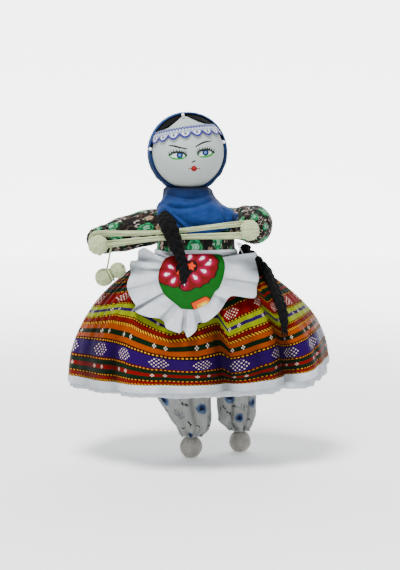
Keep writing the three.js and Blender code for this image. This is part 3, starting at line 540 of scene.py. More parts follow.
class Brushwork:
    """Colours laid over one another on spots known by two coordinates, in millimetres."""

    def __init__(self, spots, ground, softness):
        self.spots = spots
        self.softness = softness
        self.colour = np.tile(np.asarray(ground, float), (len(spots), 1))

    def lay(self, cover, colour, which=slice(None)):
        cover = np.clip(cover, 0, 1)[:, None]
        self.colour[which] = self.colour[which] * (1 - cover) + np.asarray(colour) * cover

    def inside(self, distance):
        """Cover from a signed distance that is negative inside."""
        return 1 - ease(-self.softness, self.softness, distance)

    def around(self, places, reach):
        """Which spots lie within reach of the box round places."""
        low, high = np.min(places, axis=0) - reach, np.max(places, axis=0) + reach
        return np.nonzero(np.all((self.spots >= low) & (self.spots <= high), axis=1))[0]

    def line(self, places, width, colour, strength=1.0):
        """A line through places, whose width may be one number or one for each place."""
        places = np.asarray(places, float)
        widths = np.broadcast_to(np.asarray(width, float), (len(places),))
        which = self.around(places, widths.max())
        spots = self.spots[which]
        nearest = np.full(len(spots), 1e9)
        for i in range(len(places) - 1):
            t, gap = nearest_on(spots, places[i], places[i + 1])
            nearest = np.minimum(nearest, gap - (widths[i] + (widths[i + 1] - widths[i]) * t) / 2)
        self.lay(self.inside(nearest) * strength, colour, which)

    def curve(self, places, width, colour, strength=1.0, steps=24):
        share = np.linspace(0, 1, steps)
        widths = np.broadcast_to(np.asarray(width, float), (len(places),))
        rows = smooth_curve(np.column_stack([places, widths]), share)
        self.line(rows[:, :2], np.maximum(rows[:, 2], 0.05), colour, strength)

    def spot(self, centre, half_width, half_height, colour, lean=0.0, strength=1.0):
        turn = radians(lean)
        centre = np.asarray(centre, float)
        which = self.around(centre[None], max(half_width, half_height) + 1)
        away = self.spots[which] - centre
        x = away[:, 0] * cos(turn) + away[:, 1] * sin(turn)
        y = -away[:, 0] * sin(turn) + away[:, 1] * cos(turn)
        length = np.hypot(x / half_width, y / half_height)
        self.lay(self.inside((length - 1) * min(half_width, half_height)) * strength, colour, which)

    def patch(self, corners, colour, strength=1.0, straight=False):
        """A filled outline through corners, rounded unless it is to be straight."""
        corners = np.asarray(corners, float)
        if not straight:
            corners = smooth_curve(corners, np.linspace(0, 1, 49)[:-1], closed=True)
        which = self.around(corners, 1)
        crossed = np.zeros(len(which), bool)
        nearest = np.full(len(which), 1e9)
        spots = self.spots[which]
        x, y = spots[:, 0], spots[:, 1]
        for a, b in zip(corners, np.roll(corners, -1, axis=0)):
            nearest = np.minimum(nearest, nearest_on(spots, a, b)[1])
            slope = (b - a)[0] / (b - a)[1] if abs((b - a)[1]) > 1e-9 else 0.0
            crossed ^= ((a[1] > y) != (b[1] > y)) & (x < a[0] + (y - a[1]) * slope)
        self.lay(self.inside(np.where(crossed, -nearest, nearest)) * strength, colour, which)


def on_head(azimuth, elevation, radius):
    """A place on the head by degrees to the doll's left, degrees up, and distance from its middle."""
    azimuth, elevation = np.radians(azimuth), np.radians(elevation)
    across = np.cos(elevation) * radius
    return head_point(places(np.sin(azimuth) * across, -np.cos(azimuth) * across, np.sin(elevation) * radius))


# The drawing of the face, in the photograph's pixels: its brows with their thickness, and each eye's ring,
# white, middle and inner corner
BROWS = (
    (((169.0, 145.5), (174.0, 146.0), (180.0, 147.6), (187.0, 148.8)), (0.9, 1.7, 1.7, 1.1)),
    (((195.8, 146.7), (200.5, 143.9), (205.0, 142.0), (211.2, 141.0)), (1.1, 1.7, 1.7, 0.9)),
)
EYES = (
    (
        ((168.6, 155.0), (173.0, 151.6), (179.2, 150.6), (184.3, 152.4), (186.4, 155.6), (183.4, 158.0),
         (178.2, 158.9), (172.4, 158.2)),
        ((170.6, 156.4), (175.0, 153.9), (179.8, 153.0), (184.9, 155.6), (182.4, 157.4), (176.0, 157.9)),
        (179.8, 155.2), (186.0, 155.5),
    ),
    (
        ((197.6, 154.6), (199.2, 150.2), (204.8, 147.9), (210.2, 149.0), (214.3, 152.2), (210.8, 155.2),
         (205.3, 156.7), (200.6, 156.5)),
        ((199.0, 155.4), (202.0, 151.6), (206.2, 150.5), (211.6, 152.3), (208.6, 154.9), (203.0, 156.0)),
        (205.5, 152.5), (213.4, 152.3),
    ),
)
MOUTH = (194.0, 168.6)


def paint_face(mesh):
    """Thin brows, lidded blue eyes ringed in green, a dash of a nose and a rosebud mouth."""
    spots = seen_at(points_of(mesh))
    spots[points_of(mesh)[:, 1] > HEAD_CENTRE[1]] = (0.0, 0.0)
    art = Brushwork(spots, dyes().skin, softness=0.22)
    ink, lash, leaf, lime = dye("#101418"), dye("#0E3A2C"), dye("#1F7A50"), dye("#3DBE3A")
    for brow, widths in BROWS:
        art.curve(brow, widths, ink)
    for ring, white, middle, corner in EYES:
        x, y = middle
        art.patch(ring, leaf, 0.75)
        art.curve([ring[0], *ring[:3:-1]], (0.9, 1.7, 1.8, 1.7, 1.0), lime)
        art.patch(white, dye("#E6ECEC"))
        art.spot(middle, 3.3, 3.2, dye("#0F3F78"))
        art.spot(middle, 2.2, 2.1, dye("#2A66A4"))
        art.spot(middle, 1.1, 1.1, dye("#A9C9E8"))
        art.spot((x + 0.2, y + 0.1), 0.55, 0.55, ink)
        lid = [ring[0], ring[1], (x - 0.4, y - 3.5), ring[3], ring[4]]
        art.curve([(across, down + 0.9) for across, down in lid], (0.6, 1.4, 1.7, 1.4, 0.8), ink)
        art.spot(corner, 1.3, 0.7, ink)
        for step in range(9):
            root = smooth_curve(lid, np.array([0.08 + 0.105 * step]))[0]
            art.line([root + (0, 0.8), root + ((step - 4) * 0.3, -2.2)], (1.3, 0.5), lash)
    art.line([(192.3, 162.1), (193.3, 161.6)], 1.3, ink)
    art.line([(194.2, 161.3), (195.2, 160.8)], 1.3, ink)
    red, dark_red = dye("#B8202A"), dye("#8C1620")
    art.line([(188.6, 168.6), (199.9, 168.5)], 1.0, red, 0.9)
    for turn in range(8):
        art.spot(MOUTH + heading(radians(45 * turn + 10)) * (1.9, 1.8), 1.2, 1.2, red)
    art.spot((194.0, 168.5), 1.9, 1.9, dark_red, 0, 0.6)
    art.spot((193.8, 168.2), 1.2, 1.1, dye("#E0626A"))
    art.line([(191.4, 168.9), (196.6, 168.9)], 0.4, dark_red)
    paint(mesh, "face_paint", art.colour)


def outer_scale(share, middle, reach):
    """Even steps near the middle that widen towards the ends, for shares from 0 to 1."""
    t = 2 * share - 1
    return middle * t + (reach - middle) * np.sign(t) * np.abs(t) ** 5


def make_face():
    def place(u, v):
        return on_head(outer_scale(u, 52, 180), outer_scale(v, 42, 90), BALL_RADIUS)

    mesh = face_outward(cloth_grid("painted_face", 300, 190, place, wrap=True))
    paint_face(mesh)
    jersey = jersey_finish("painted jersey", "face_paint")
    dressed("painted_face", mesh, "head", "stocking_skin", jersey, "face_cover")


# How strongly the floor glows near the doll and the backdrop behind it
FLOOR_GLOW = 0.3
BACKDROP_GLOW = 3.0


def make_stage():
    bpy.ops.mesh.primitive_plane_add(size=8.0, location=(0, 0, 0))
    floor = bpy.context.active_object
    floor.name = "floor"
    backdrop = object_from("backdrop", cloth_grid("backdrop", 8, 4, lambda u, v: np.stack(
        [8000 * (u - 0.5), np.full_like(u, 3200.0), 3400 * v - 20], axis=-1)), None, None)
    for piece, glow in ((floor, FLOOR_GLOW), (backdrop, BACKDROP_GLOW)):
        finish = Finish(piece.name + " white", roughness=0.9, specular=0.1)
        place = finish.place()
        finish.done(finish.mix(finish.noise(place, 600.0, 1.0), (0.88, 0.88, 0.88), (0.92, 0.92, 0.92)))
        x, y, _ = finish.split(place)
        near = finish.less(finish.root(finish.sum(finish.times(x, x), finish.times(y, y))), 1000.0, 850.0)
        glow_here = finish.sum(BACKDROP_GLOW, finish.times(near, glow - BACKDROP_GLOW))
        finish.join(glow_here, finish.shader.inputs["Emission Strength"])
        finish.set("Emission Color", (0.97, 0.985, 1.0, 1.0))
        piece.data.materials.append(finish.material)
    world = bpy.context.scene.world or bpy.data.worlds.new("soft studio")
    bpy.context.scene.world = world
    world.use_nodes = True
    world.node_tree.nodes["Background"].inputs[0].default_value = (0.93, 0.96, 1.0, 1.0)
    world.node_tree.nodes["Background"].inputs[1].default_value = 0.26
    for name, place, size, power in (
        ("key light", (-0.35, -0.9, 2.3), 0.9, sizes().light),
        ("fill light", (0.9, -1.5, 1.0), 1.4, 6.0),
        ("rim light", (0.5, 1.3, 1.6), 1.2, 12.0),
    ):
        data = bpy.data.lights.new(name, "AREA")
        data.size = size
        data.energy = power
        lamp = bpy.data.objects.new(name, data)
        bpy.context.scene.collection.objects.link(lamp)
        aim = Vector((0, 0, 0.18)) - Vector(place)
        lamp.matrix_world = Matrix.Translation(place) @ aim.to_track_quat("-Z", "Y").to_matrix().to_4x4()


def make_camera():
    data = bpy.data.cameras.new("camera")
    data.sensor_fit = "VERTICAL"
    data.sensor_height = 24.0
    data.lens = data.sensor_height / 2 / tan(radians(CAMERA_FIELD / 2))
    camera = bpy.data.objects.new("camera", data)
    bpy.context.scene.collection.objects.link(camera)
    rise = Matrix.Rotation(radians(90 - CAMERA_RISE), 4, "X")
    camera.matrix_world = Matrix.Translation(Vector(CAMERA_PLACE) * MM) @ rise
    bpy.context.scene.camera = camera


HAIR_EDGES = (
    (-1, "hair_right", "right_hair",
     [(0, 79), (13, 76), (29, 70), (40, 58), (45, 40), (54, 28), (61, 21), (71, 10.5), (80, 2), (84, 0)]),
    (1, "hair_left", "left_hair",
     [(0, 84), (13, 82), (26, 80), (38, 76), (41, 61), (43, 44), (49, 31), (59, 22), (72, 13), (84, 3)]),
)


def make_hair():
    felt = felt_finish("black felt", dyes().hair, dye("#1C1C20"))
    for side, name, node, edge in HAIR_EDGES:

        def place(v, u, side=side, edge=np.array(edge, float)):
            elevation = 84 - 80 * u
            inner = np.interp(elevation, edge[:, 0], edge[:, 1])
            azimuth = inner + (106 - inner) * v
            lift = 37.15 + 0.35 * ease(0, 0.12, v) + 0.15 * crumple(u, v, 5 + side)
            return on_head(side * azimuth, elevation, lift)

        mesh = sheet_mesh(name, 40, 90, place, HEAD_CENTRE, wrap=False)
        piece = dressed(name, mesh, "head", "black_felt", felt, node, sizes().felt)


# The lace band: its scallops, how far round the head it reaches in degrees, and its sizes in millimetres
LACE_SCALLOPS = 9
LACE_REACH = 88
LACE_SHIFT = 4.5
LACE_RADIUS = 38.4
SCALLOP_WIDTH = 11.3
ZIGZAG_WIDTH = 3.2
NET_PITCH = 0.75


def lace_high_edge(azimuth):
    return 39.8 - 3.5 * (1 - np.cos(np.radians(azimuth)))


def lace_scallop(azimuth):
    return (azimuth + LACE_REACH + LACE_SHIFT) / (2 * LACE_REACH) * LACE_SCALLOPS


def lace_low_edge(azimuth):
    drop = np.abs(np.sin(pi * lace_scallop(azimuth)))
    return 27.6 - 7.4 * drop**0.75 - 3.5 * (1 - np.cos(np.radians(azimuth)))


def make_lace():
    def place(u, v):
        azimuth = LACE_REACH * (2 * u - 1)
        high, low = lace_high_edge(azimuth), lace_low_edge(azimuth)
        return on_head(azimuth, low + (high - low) * v, 38.35 + 0.12 * crumple(u * 6, v, 3))

    mesh = sheet_mesh("lace_band", 500, 44, place, HEAD_CENTRE, wrap=False)
    uv = uv_of(mesh)
    azimuth = LACE_REACH * (2 * uv[:, 0] - 1)
    phase = lace_scallop(azimuth) % 1
    high, low = lace_high_edge(azimuth), lace_low_edge(azimuth)
    tall = (high - low) * radians(1) * LACE_RADIUS
    below_top, above_edge = (1 - uv[:, 1]) * tall, uv[:, 1] * tall
    along = uv[:, 0] * LACE_SCALLOPS * SCALLOP_WIDTH
    art = Brushwork(np.stack([along, below_top], axis=1), dye("#B8C0CE"), softness=0.2)
    holes = np.cos(pi * along / NET_PITCH) * np.cos(pi * below_top / NET_PITCH)
    beside_face = np.abs(azimuth) > 48
    see_through = np.where(beside_face[:, None], dye("#14141A"), dye("#848A94"))
    cover = ease(0.15, 0.45, holes)[:, None] * np.where(beside_face, 0.9, 0.6)[:, None]
    art.colour = art.colour * (1 - cover) + see_through * cover
    violet, white = dye("#4A3CA8"), dye("#F1F3F8")
    middle = (phase - 0.5) * SCALLOP_WIDTH
    arch = np.hypot(middle / 4.3, (above_edge - 4.6) / 4.3)
    art.lay(art.inside(np.abs(arch - 0.55) * 4.3 - 0.6) * (above_edge < 6), white)
    art.lay(art.inside(above_edge - 2.1), violet)
    art.lay(art.inside(np.hypot(middle, above_edge - 4.4) - 0.9), dye("#6F7C78"))
    step = (along / ZIGZAG_WIDTH) % 1 - 0.5
    art.lay(art.inside(np.abs(below_top - 0.9 - 4.0 * np.abs(step)) - 0.85), violet)
    art.lay(art.inside(np.hypot(step * ZIGZAG_WIDTH, below_top - 4.3) - 0.7), white)
    paint(mesh, "lace_paint", art.colour)
    finish = Finish("net lace", roughness=0.8, sheen=0.2, specular=0.3)
    net = finish.relief(finish.noise(finish.place(), 0.5, 2.0), 0.15)
    material = finish.done(finish.painted("lace_paint"), net)
    piece = dressed("lace_band", mesh, "head", "lace", material, "lace_headband", THIN_CLOTH)


# Each pin's node, azimuth and elevation on the head, in degrees, and its distance from the head's middle
PEARLS = (
    ("right_pearl_pin", -72.5, 11.5, 39.4),
    ("left_pearl_pin", 66, 7, 38.8),
    ("parting_pearl_pin", -3, 65, 39.8),
)


def make_pearls():
    finish = pearl_finish("pearl", dyes().pearl)
    for node, azimuth, elevation, reach in PEARLS:
        middle = on_head(azimuth, elevation, reach)

        def place(way, middle=middle, radius=sizes().pearl / MM):
            return middle + way * radius * (1 + 0.02 * sin(2 * way[0]))

        mesh = ball_mesh(node + "_bead", 28, 18, place)
        dressed(node + "_bead", mesh, "head", "pearl", finish, node)


def pressed(points, outward, folds):
    """Points moved along their outward directions by folds, each a line in the photograph's pixels with the
    width and height of its ridge, or of its valley where the height is negative."""
    spots = seen_at(points)
    facing = ease(0.0, 0.35, -outward[:, 1])
    lift = np.zeros(len(points))
    for line, width, height in folds:
        rows = smooth_curve(np.asarray(line, float), np.linspace(0, 1, 20))
        nearest = np.full(len(points), 1e9)
        fade = np.ones(len(points))
        for i in range(len(rows) - 1):
            t, gap = nearest_on(spots, rows[i], rows[i + 1])
            closer = gap < nearest
            nearest = np.where(closer, gap, nearest)
            share = (i + t) / (len(rows) - 1)
            fade = np.where(closer, np.sin(pi * np.clip(share, 0.02, 0.98)) ** 0.5, fade)
        lift += height * fade * np.exp(-((nearest / width) ** 2))
    return points + outward * (lift * facing)[:, None]


def rounded_ring(angle, half_width, half_depth, power=2.5):
    c, s = np.cos(angle), np.sin(angle)
    return (
        half_width * np.sign(c) * np.abs(c) ** (2 / power),
        half_depth * np.sign(s) * np.abs(s) ** (2 / power),
    )


# The hood from its rim to the back: degrees from the face's middle, and its share of its full size
HOOD_RIM = (
    (75.5, 0.0), (76.0, 0.45), (79.0, 0.85), (85.0, 1.0), (98.0, 1.0), (115.0, 1.0), (135.0, 1.0),
    (158.0, 1.0), (180.0, 1.0),
)
# The scarf round the neck: height in front and at its sides, middle, half-width, half-depth, in millimetres
NECK_RINGS = (
    (270, 271, -13.5, 21.0, 19.0), (267.5, 268, -12.5, 23.6, 23.0), (262, 262, -10.8, 25.6, 25.0),
    (256, 256, -8.0, 30.0, 27.5), (250, 251.5, -3.5, 37.0, 30.5), (242, 247.5, -1.0, 41.5, 32.6),
    (233, 243, -1.0, 42.6, 33.6), (226, 239, -2.0, 41.8, 33.2),
)
# Its folds, in the photograph's pixels, each with its width and its height in millimetres
NECK_FOLDS = (
    ([(166, 193), (178, 197.5), (196, 199), (212, 194)], 1.8, -1.7),
    ([(164, 199), (176, 203.5), (192, 203.5), (214, 196)], 2.4, 1.8),
    ([(163, 204), (178, 208.5), (198, 206.5), (216, 199)], 1.8, -1.5),
    ([(164, 209), (176, 213), (192, 211.5), (218, 203)], 2.6, 1.1),
    ([(161, 207), (168, 214), (178, 224), (186, 232)], 1.3, -1.6),
    ([(163, 206.5), (171, 213), (181, 222), (190, 231)], 1.5, 1.3),
    ([(168, 209), (176, 216), (186, 224), (196, 230)], 2.0, -0.9),
    ([(216, 198), (222, 206), (226, 216), (226, 226)], 1.7, -1.6),
    ([(220, 198), (228, 205), (232, 214), (231, 224)], 2.2, 1.5),
    ([(226, 203), (235, 211), (236, 219)], 1.6, -1.3),
    ([(186, 214), (200, 220), (214, 221), (224, 214)], 3.2, 0.9),
    ([(182, 219), (198, 227), (216, 226)], 2.2, -0.8),
)


def make_scarf():
    def hood_place(u, v):
        turn = CIRCLE * u
        up = np.cos(turn)
        over_hair = ease(-0.15, 0.35, up)
        rim = 36.7 + 2.3 * over_hair
        station = smooth_curve(HOOD_RIM, v)
        polar = np.radians(station[:, 0])
        radius = rim + (39.9 - rim) * np.clip(station[:, 1], 0, 1.05)
        gathers = np.sin(turn * 14 + 2.2 * np.sin(3 * turn)) * ease(-0.1, -0.9, up)
        soft = crumple(u * 2, v * 3, 21, 9, 1.0, 4.0)
        radius = radius + ease(0.05, 0.35, v) * (0.45 * gathers + 0.35 * soft - 0.2)
        across = np.sin(polar) * radius
        return head_point(places(np.sin(turn) * across, -np.cos(polar) * radius, up * across))

    hood = sheet_mesh("scarf_over_head", 220, 120, hood_place, HEAD_CENTRE)
    up = (points_of(hood) - HEAD_CENTRE) @ HEAD_Z_AXIS
    paint(hood, "scarf_shade", (1 - 0.62 * ease(22, -14, up))[:, None])
    cloth = voile_finish("blue voile", 250, 90)
    piece = dressed("scarf_over_head", hood, "head", "blue_cloth", cloth, "scarf_hood", sizes().voile)

    def wrap_place(u, v):
        angle = CIRCLE * u
        station = smooth_curve(NECK_RINGS, np.clip(v / 0.93, 0, 1))
        c, s = np.cos(angle), np.sin(angle)
        width, depth = station[:, 3], station[:, 4]
        inner = ease(0.93, 1.0, v) * 2.4
        x, y = rounded_ring(angle, width - inner, depth - inner)
        z = station[:, 1] + (station[:, 0] - station[:, 1]) * s**2 - 4 * c * np.abs(c) * ease(0.15, 0.6, v)
        points = places(station[:, 2] + x, y, z)
        outward = unit(places(c / width, s / depth, np.zeros_like(c)))
        slanting = np.sin(9 * angle + 16 * v + 1.5 * np.sin(2 * angle))
        soft = crumple(u * 3, v * 1.5, 8, 9, 1.0, 5.0)
        lift = (0.55 * slanting + 0.4 * soft) * ease(0, 0.12, v) * (1 - 0.6 * ease(0.9, 1, v))
        return pressed(points + outward * lift[:, None], outward, NECK_FOLDS)

    wrap = sheet_mesh("scarf_round_neck", 300, 150, wrap_place, (-5, 0, 245))
    under_chin = ease(250, 268, points_of(wrap)[:, 2])
    paint(wrap, "scarf_shade", (1 - 0.6 * under_chin)[:, None])
    cloth = voile_finish("blue voile below", 240, 70)
    piece = dressed("scarf_round_neck", wrap, None, "blue_cloth", cloth, "scarf_drape", sizes().voile)
    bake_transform(piece)


# The skirt's bell, as in the part's source: sizes in millimetres, angle 0 at the doll's left and -90 in front
WAIST_HALF_WIDTH = 41.8
WAIST_HALF_DEPTH = 30.8
BELL_FULL_WIDTH = 129.5
BELL_FULL_DEPTH = 90.0
BELL_FLARE = 2.35
PLAIN_HEM_Z = 78.0
SIDE_RISE = 17
SIDE_RISE_REACH = 46
PETTICOAT_RISE_SHARE = 0.6
FOLD_REACH = 8
SKIRT_FOLDS = (
    (-150, -3), (-114, 5), (-78, -5), (-48, -6), (-36, 3.5), (-12, -3), (12, 3),
    (36, -3.2), (60, 3), (90, 3.5), (114, -3.2), (138, 3), (162, -2.6), (-168, 3),
)
# Creases that only the cloth has: angle, width in degrees, depth at the hem and the share where it starts
SKIRT_CREASES = (
    (-79.5, 2.2, -4.2, 0.15), (-73, 3.5, 2.2, 0.15), (-47.5, 2.2, -5.4, 0.05), (-41, 3.0, 2.0, 0.05),
    (-106, 3.0, -2.2, 0.25), (-120, 4.0, 1.6, 0.30), (-131, 3.2, -3.6, 0.40), (-96, 4.0, 1.0, 0.30),
    (-63, 3.0, -1.4, 0.20), (-58, 2.5, 1.2, 0.20), (-160, 3.5, -1.2, 0.20), (-28, 3.0, -1.4, 0.10),
    (4, 3.0, -1.4, 0.15), (25, 3.0, 1.2, 0.20), (48, 3.0, -1.4, 0.15), (76, 3.0, -1.3, 0.20),
    (102, 3.0, 1.2, 0.15), (126, 3.0, -1.3, 0.15), (150, 3.0, 1.1, 0.20), (174, 3.0, -1.2, 0.20),
)
# How high up the cloth four edges of the ribbon stripes stand at some angles, because the cloth is gathered
# unevenly: 23, 36, 59.5 and 72 mm up where it is even
EVEN_STRIPES = (0, 23, 36, 59.5, 72, 130)
STRIPE_HEIGHTS = (
    (-180, 23, 36, 59.5, 72), (-160, 23, 37.5, 62, 74), (-150, 23.5, 38, 65, 77), (-138, 23.5, 38.5, 69, 81),
    (-124, 22.5, 35.5, 67, 81.5), (-116, 19, 31, 60, 74), (-110, 16.5, 27.5, 55, 66.5),
    (-103, 15, 24.5, 50, 59.5), (-90, 14.1, 23.6, 55.6, 66), (-82, 15.6, 26.5, 61, 75.5),
    (-79.5, 15.6, 26.5, 61, 75.5), (-76, 10.8, 23, 46.5, 59.5), (-68, 12.7, 25.1, 52.5, 66),
    (-60, 16.5, 29, 57, 71), (-50, 20, 32, 61.5, 77), (-47, 16, 28, 52, 65), (-38, 18, 31, 56, 70),
    (-20, 22, 35, 59, 72), (0, 23, 36, 59.5, 72), (180, 23, 36, 59.5, 72),
)


def bell(share):
    """Middle, half-width and half-depth of the skirt at a share of the way from waist to hem."""
    spread = 1 - np.clip(1 - share, 0, 1) ** BELL_FLARE
    return (
        -4 * (1 - share),
        WAIST_HALF_WIDTH + (BELL_FULL_WIDTH - WAIST_HALF_WIDTH) * spread,
        WAIST_HALF_DEPTH + (BELL_FULL_DEPTH - WAIST_HALF_DEPTH) * spread,
    )


def degrees_apart(angle, centre):
    return (np.degrees(angle) - centre + 180) % 360 - 180


def skirt_fold(angle, share):
    """How far the cloth stands out from the plain bell: folds, creases, gathers at the waist and softness."""
    lift = np.zeros(np.broadcast(angle, share).shape)
    growth = ease(0.2, 0.95, share)
    for centre, depth in SKIRT_FOLDS:
        lift += depth * np.exp(-((degrees_apart(angle, centre) / FOLD_REACH) ** 2)) * growth
    for centre, width, depth, start in SKIRT_CREASES:
        away = degrees_apart(angle, centre + 6 * (share - 0.8))
        lift += depth * np.exp(-((away / width) ** 2)) * ease(start, 0.85, share)
    gathers = 0.9 * np.sin(46 * angle + 2 * np.sin(5 * angle)) * ease(0.02, 0.10, share)
    gathers *= 1 - ease(0.25, 0.75, share)
    soft = 0.6 * crumple(angle / CIRCLE * 5, share * 1.4, 41, 9, 0.6, 2.6) * ease(0.1, 0.5, share)
    return lift + gathers + soft


def hem_rise(angle, share):
    """How far the cloth is lifted where the hem rises towards the doll's left."""
    return SIDE_RISE * np.exp(-((degrees_apart(angle, 0) / SIDE_RISE_REACH) ** 2)) * ease(0.1, 1.0, share)


def skirt_point(angle, share, outset=0.0, rise_share=1.0):
    """A place on the skirt by compass angle and share of the way from waist to hem, which may pass 1."""
    middle, half_width, half_depth = bell(np.minimum(share, 1.0))
    lift = skirt_fold(angle, np.minimum(share, 1.02)) + outset
    x = middle + (half_width + lift) * np.cos(angle)
    y = (half_depth + lift) * np.sin(angle)
    z = WAIST_Z + (PLAIN_HEM_Z - WAIST_Z) * share + rise_share * hem_rise(angle, np.minimum(share, 1.0))
    return places(x, y, z)


def even_drop():
    """Shares of the way down the skirt, and the length of cloth from the waist to each, in millimetres."""
    share = np.linspace(0, 1, 200)
    _, half_width, _ = bell(share)
    run = np.hypot(np.diff(half_width), np.diff(WAIST_Z + (PLAIN_HEM_Z - WAIST_Z) * share))
    length = np.concatenate([[0], np.cumsum(run)])
    return share, length


DROP_SHARE, DROP_LENGTH = even_drop()
CLOTH_DROP = DROP_LENGTH[-1]
HEM_GIRTH = 760.0
BAND_WIDTH = 7.5
# How far along the ribbon the cloth is at some angles, counted in repeats of its pattern: the gathers take up
# more of it at the doll's sides, and the cloth meets itself at the back, at 90 degrees and again at 450
RIBBON_REPEAT = 43.0
RIBBON_REPEATS = (
    (90, -4.5), (220.9, 0), (235.5, 1), (252.7, 2), (271.9, 3), (287.2, 4), (308.5, 5), (315, 6), (330, 7),
    (450, 11.5),
)
# The ribbon's stripes from the hem up, which then start again: width, colour, roughness and what is woven in
RIBBON_HEIGHT = 103.5
RIBBON_STRIPES = (
    (2.5, "#1A1612", 0.6, "twist"), (3.0, "#A0301C", 0.5, ""), (2.5, "#3A1010", 0.6, "dots"),
    (4.0, "#245036", 0.45, ""), (4.0, "#A02818", 0.5, "diamonds"), (4.0, "#245036", 0.45, ""),
    (3.0, "#701A14", 0.6, "dots"), (13.0, "#562080", 0.3, "clusters"), (3.0, "#14100C", 0.6, "dots"),
    (4.0, "#B8701E", 0.3, ""), (4.0, "#204C32", 0.45, "diamonds"), (4.0, "#B8701E", 0.3, ""),
    (3.0, "#1A1612", 0.6, "twist"), (3.0, "#98301C", 0.5, ""), (2.5, "#4A1210", 0.6, "dots"),
    (4.5, "#AEB81C", 0.3, ""), (3.5, "#542A80", 0.4, "diamonds"), (4.5, "#AEB81C", 0.3, ""),
    (2.5, "#4A1210", 0.6, "dots"), (13.0, "#9C2418", 0.45, "clusters"), (2.5, "#3A1010", 0.6, "dots"),
    (5.0, "#245036", 0.45, ""), (3.0, "#A02818", 0.5, ""), (5.0, "#245036", 0.45, ""),
)


def stripe_height(angle, height):
    """Where on the ribbon pattern, in millimetres from the hem, the cloth at a height and an angle is."""
    rows = np.asarray(STRIPE_HEIGHTS, float)
    turned = degrees_apart(angle, 0)
    lower = np.zeros_like(height)
    pattern = np.zeros_like(height)
    for i in range(1, len(EVEN_STRIPES)):
        even = EVEN_STRIPES[i] - EVEN_STRIPES[i - 1]
        upper = np.interp(turned, rows[:, 0], rows[:, i]) if i < rows.shape[1] else lower + even
        pattern += np.clip((height - lower) / (upper - lower), 0, 1) * even
        lower = upper
    return pattern


def brocade_finish(name):
    """Satin and gold ribbon stripes from the hem up, with small diamonds and dotted clusters."""
    finish = Finish(name, roughness=0.5, specular=0.04)
    maths, times, plus, minus, less = finish.maths, finish.times, finish.sum, finish.minus, finish.less
    u, v = finish.along_cloth(HEM_GIRTH, CLOTH_DROP - BAND_WIDTH)
    wobble = times(minus(finish.noise(finish.vector(u, 0.0), 30.0, 1.0), 0.5), 1.2)
    height = plus(maths("MODULO", plus(v, RIBBON_HEIGHT), RIBBON_HEIGHT), wobble)
    share = times(height, 1 / RIBBON_HEIGHT)
    scale = RIBBON_HEIGHT / sum(row[0] for row in RIBBON_STRIPES)
    low, stops, gloss, centres = 0.0, [], [], {"dots": [], "twist": [], "diamonds": [], "clusters": []}
    for width, colour, rough, kind in RIBBON_STRIPES:
        stops.append((low / RIBBON_HEIGHT, dye(colour)))
        gloss.append((low / RIBBON_HEIGHT, (rough,) * 3))
        if kind:
            centres[kind].append(low + width * scale / 2)
        low += width * scale
    sheen = finish.ramp(share, gloss, stepped=True)

    def nearness(kind, reach):
        """Distance in millimetres to the middle of the nearest row of that kind, up to reach."""
        marks = []
        for centre in centres[kind]:
            for away, grey in ((-reach, 1), (0, 0), (reach, 1)):
                marks.append((max((centre + away) / RIBBON_HEIGHT, 0.0), (grey,) * 3))
        return times(finish.ramp(share, marks), reach)

    def folded(value, pitch):
        return maths("PINGPONG", value, pitch / 2)

    def squared(value):
        return maths("POWER", value, 2.0)

    dots, dot_u = nearness("dots", 1.3), folded(u, 4.2)
    gold_dots = less(finish.root(plus(times(dots, dots, 2.2), times(dot_u, dot_u, 0.5))), 0.9, 0.15)
    twist, slant = nearness("twist", 1.35), folded(plus(u, times(height, 1.1)), 3.6)
    gold_twist = times(less(slant, 0.95, 0.15), less(twist, 1.2, 0.1))
    # Distance along the stripe to the middle of the nearest repeat, and to the nearer of its two diamonds
    along = maths("MODULO", plus(u, 10.5 * RIBBON_REPEAT), RIBBON_REPEAT)
    from_cluster = maths("ABSOLUTE", minus(along, RIBBON_REPEAT / 2))
    pair = maths("ABSOLUTE", minus(from_cluster, 6.0))
    diamonds = nearness("diamonds", 2.2)
    beside = finish.root(plus(squared(minus(pair, 1.35)), times(diamonds, diamonds)))
    above = finish.root(plus(times(pair, pair), squared(minus(diamonds, 1.25))))
    four_dots = less(maths("MINIMUM", beside, above), 0.68, 0.12)
    clusters = nearness("clusters", 6.5)
    columns = maths("COSINE", times(from_cluster, pi / 2.3))
    lattice = times(columns, maths("COSINE", times(clusters, pi / 2.05)))
    within = less(plus(times(from_cluster, from_cluster, 1 / 112), times(clusters, clusters, 1 / 34)), 1.0)
    stitches = times(less(times(lattice, -1), -0.46, 0.12), within)
    gold, cream = dye("#E8B63C"), dye("#F0E4DA")
    colour = finish.ramp(share, stops, stepped=True)
    for cover, thread in ((gold_dots, gold), (gold_twist, gold), (four_dots, cream), (stitches, cream)):
        colour = finish.mix(cover, colour, thread)
    cords = maths("SINE", times(u, CIRCLE / 0.55))
    streaks = finish.noise(finish.vector(u, times(v, 0.08)), 0.9, 3.0)
    colour = finish.mix(times(streaks, 0.35), colour, finish.tinted(colour, (0.55, 0.5, 0.55)))
    colour = finish.tinted(colour, finish.painted("fold_shade"))
    marks = maths("MAXIMUM", maths("MAXIMUM", gold_dots, gold_twist), maths("MAXIMUM", four_dots, stitches))
    relief = plus(times(cords, 0.25), times(marks, 1.4), times(streaks, 0.4))
    return finish.done(colour, finish.relief(relief, 0.12), sheen)


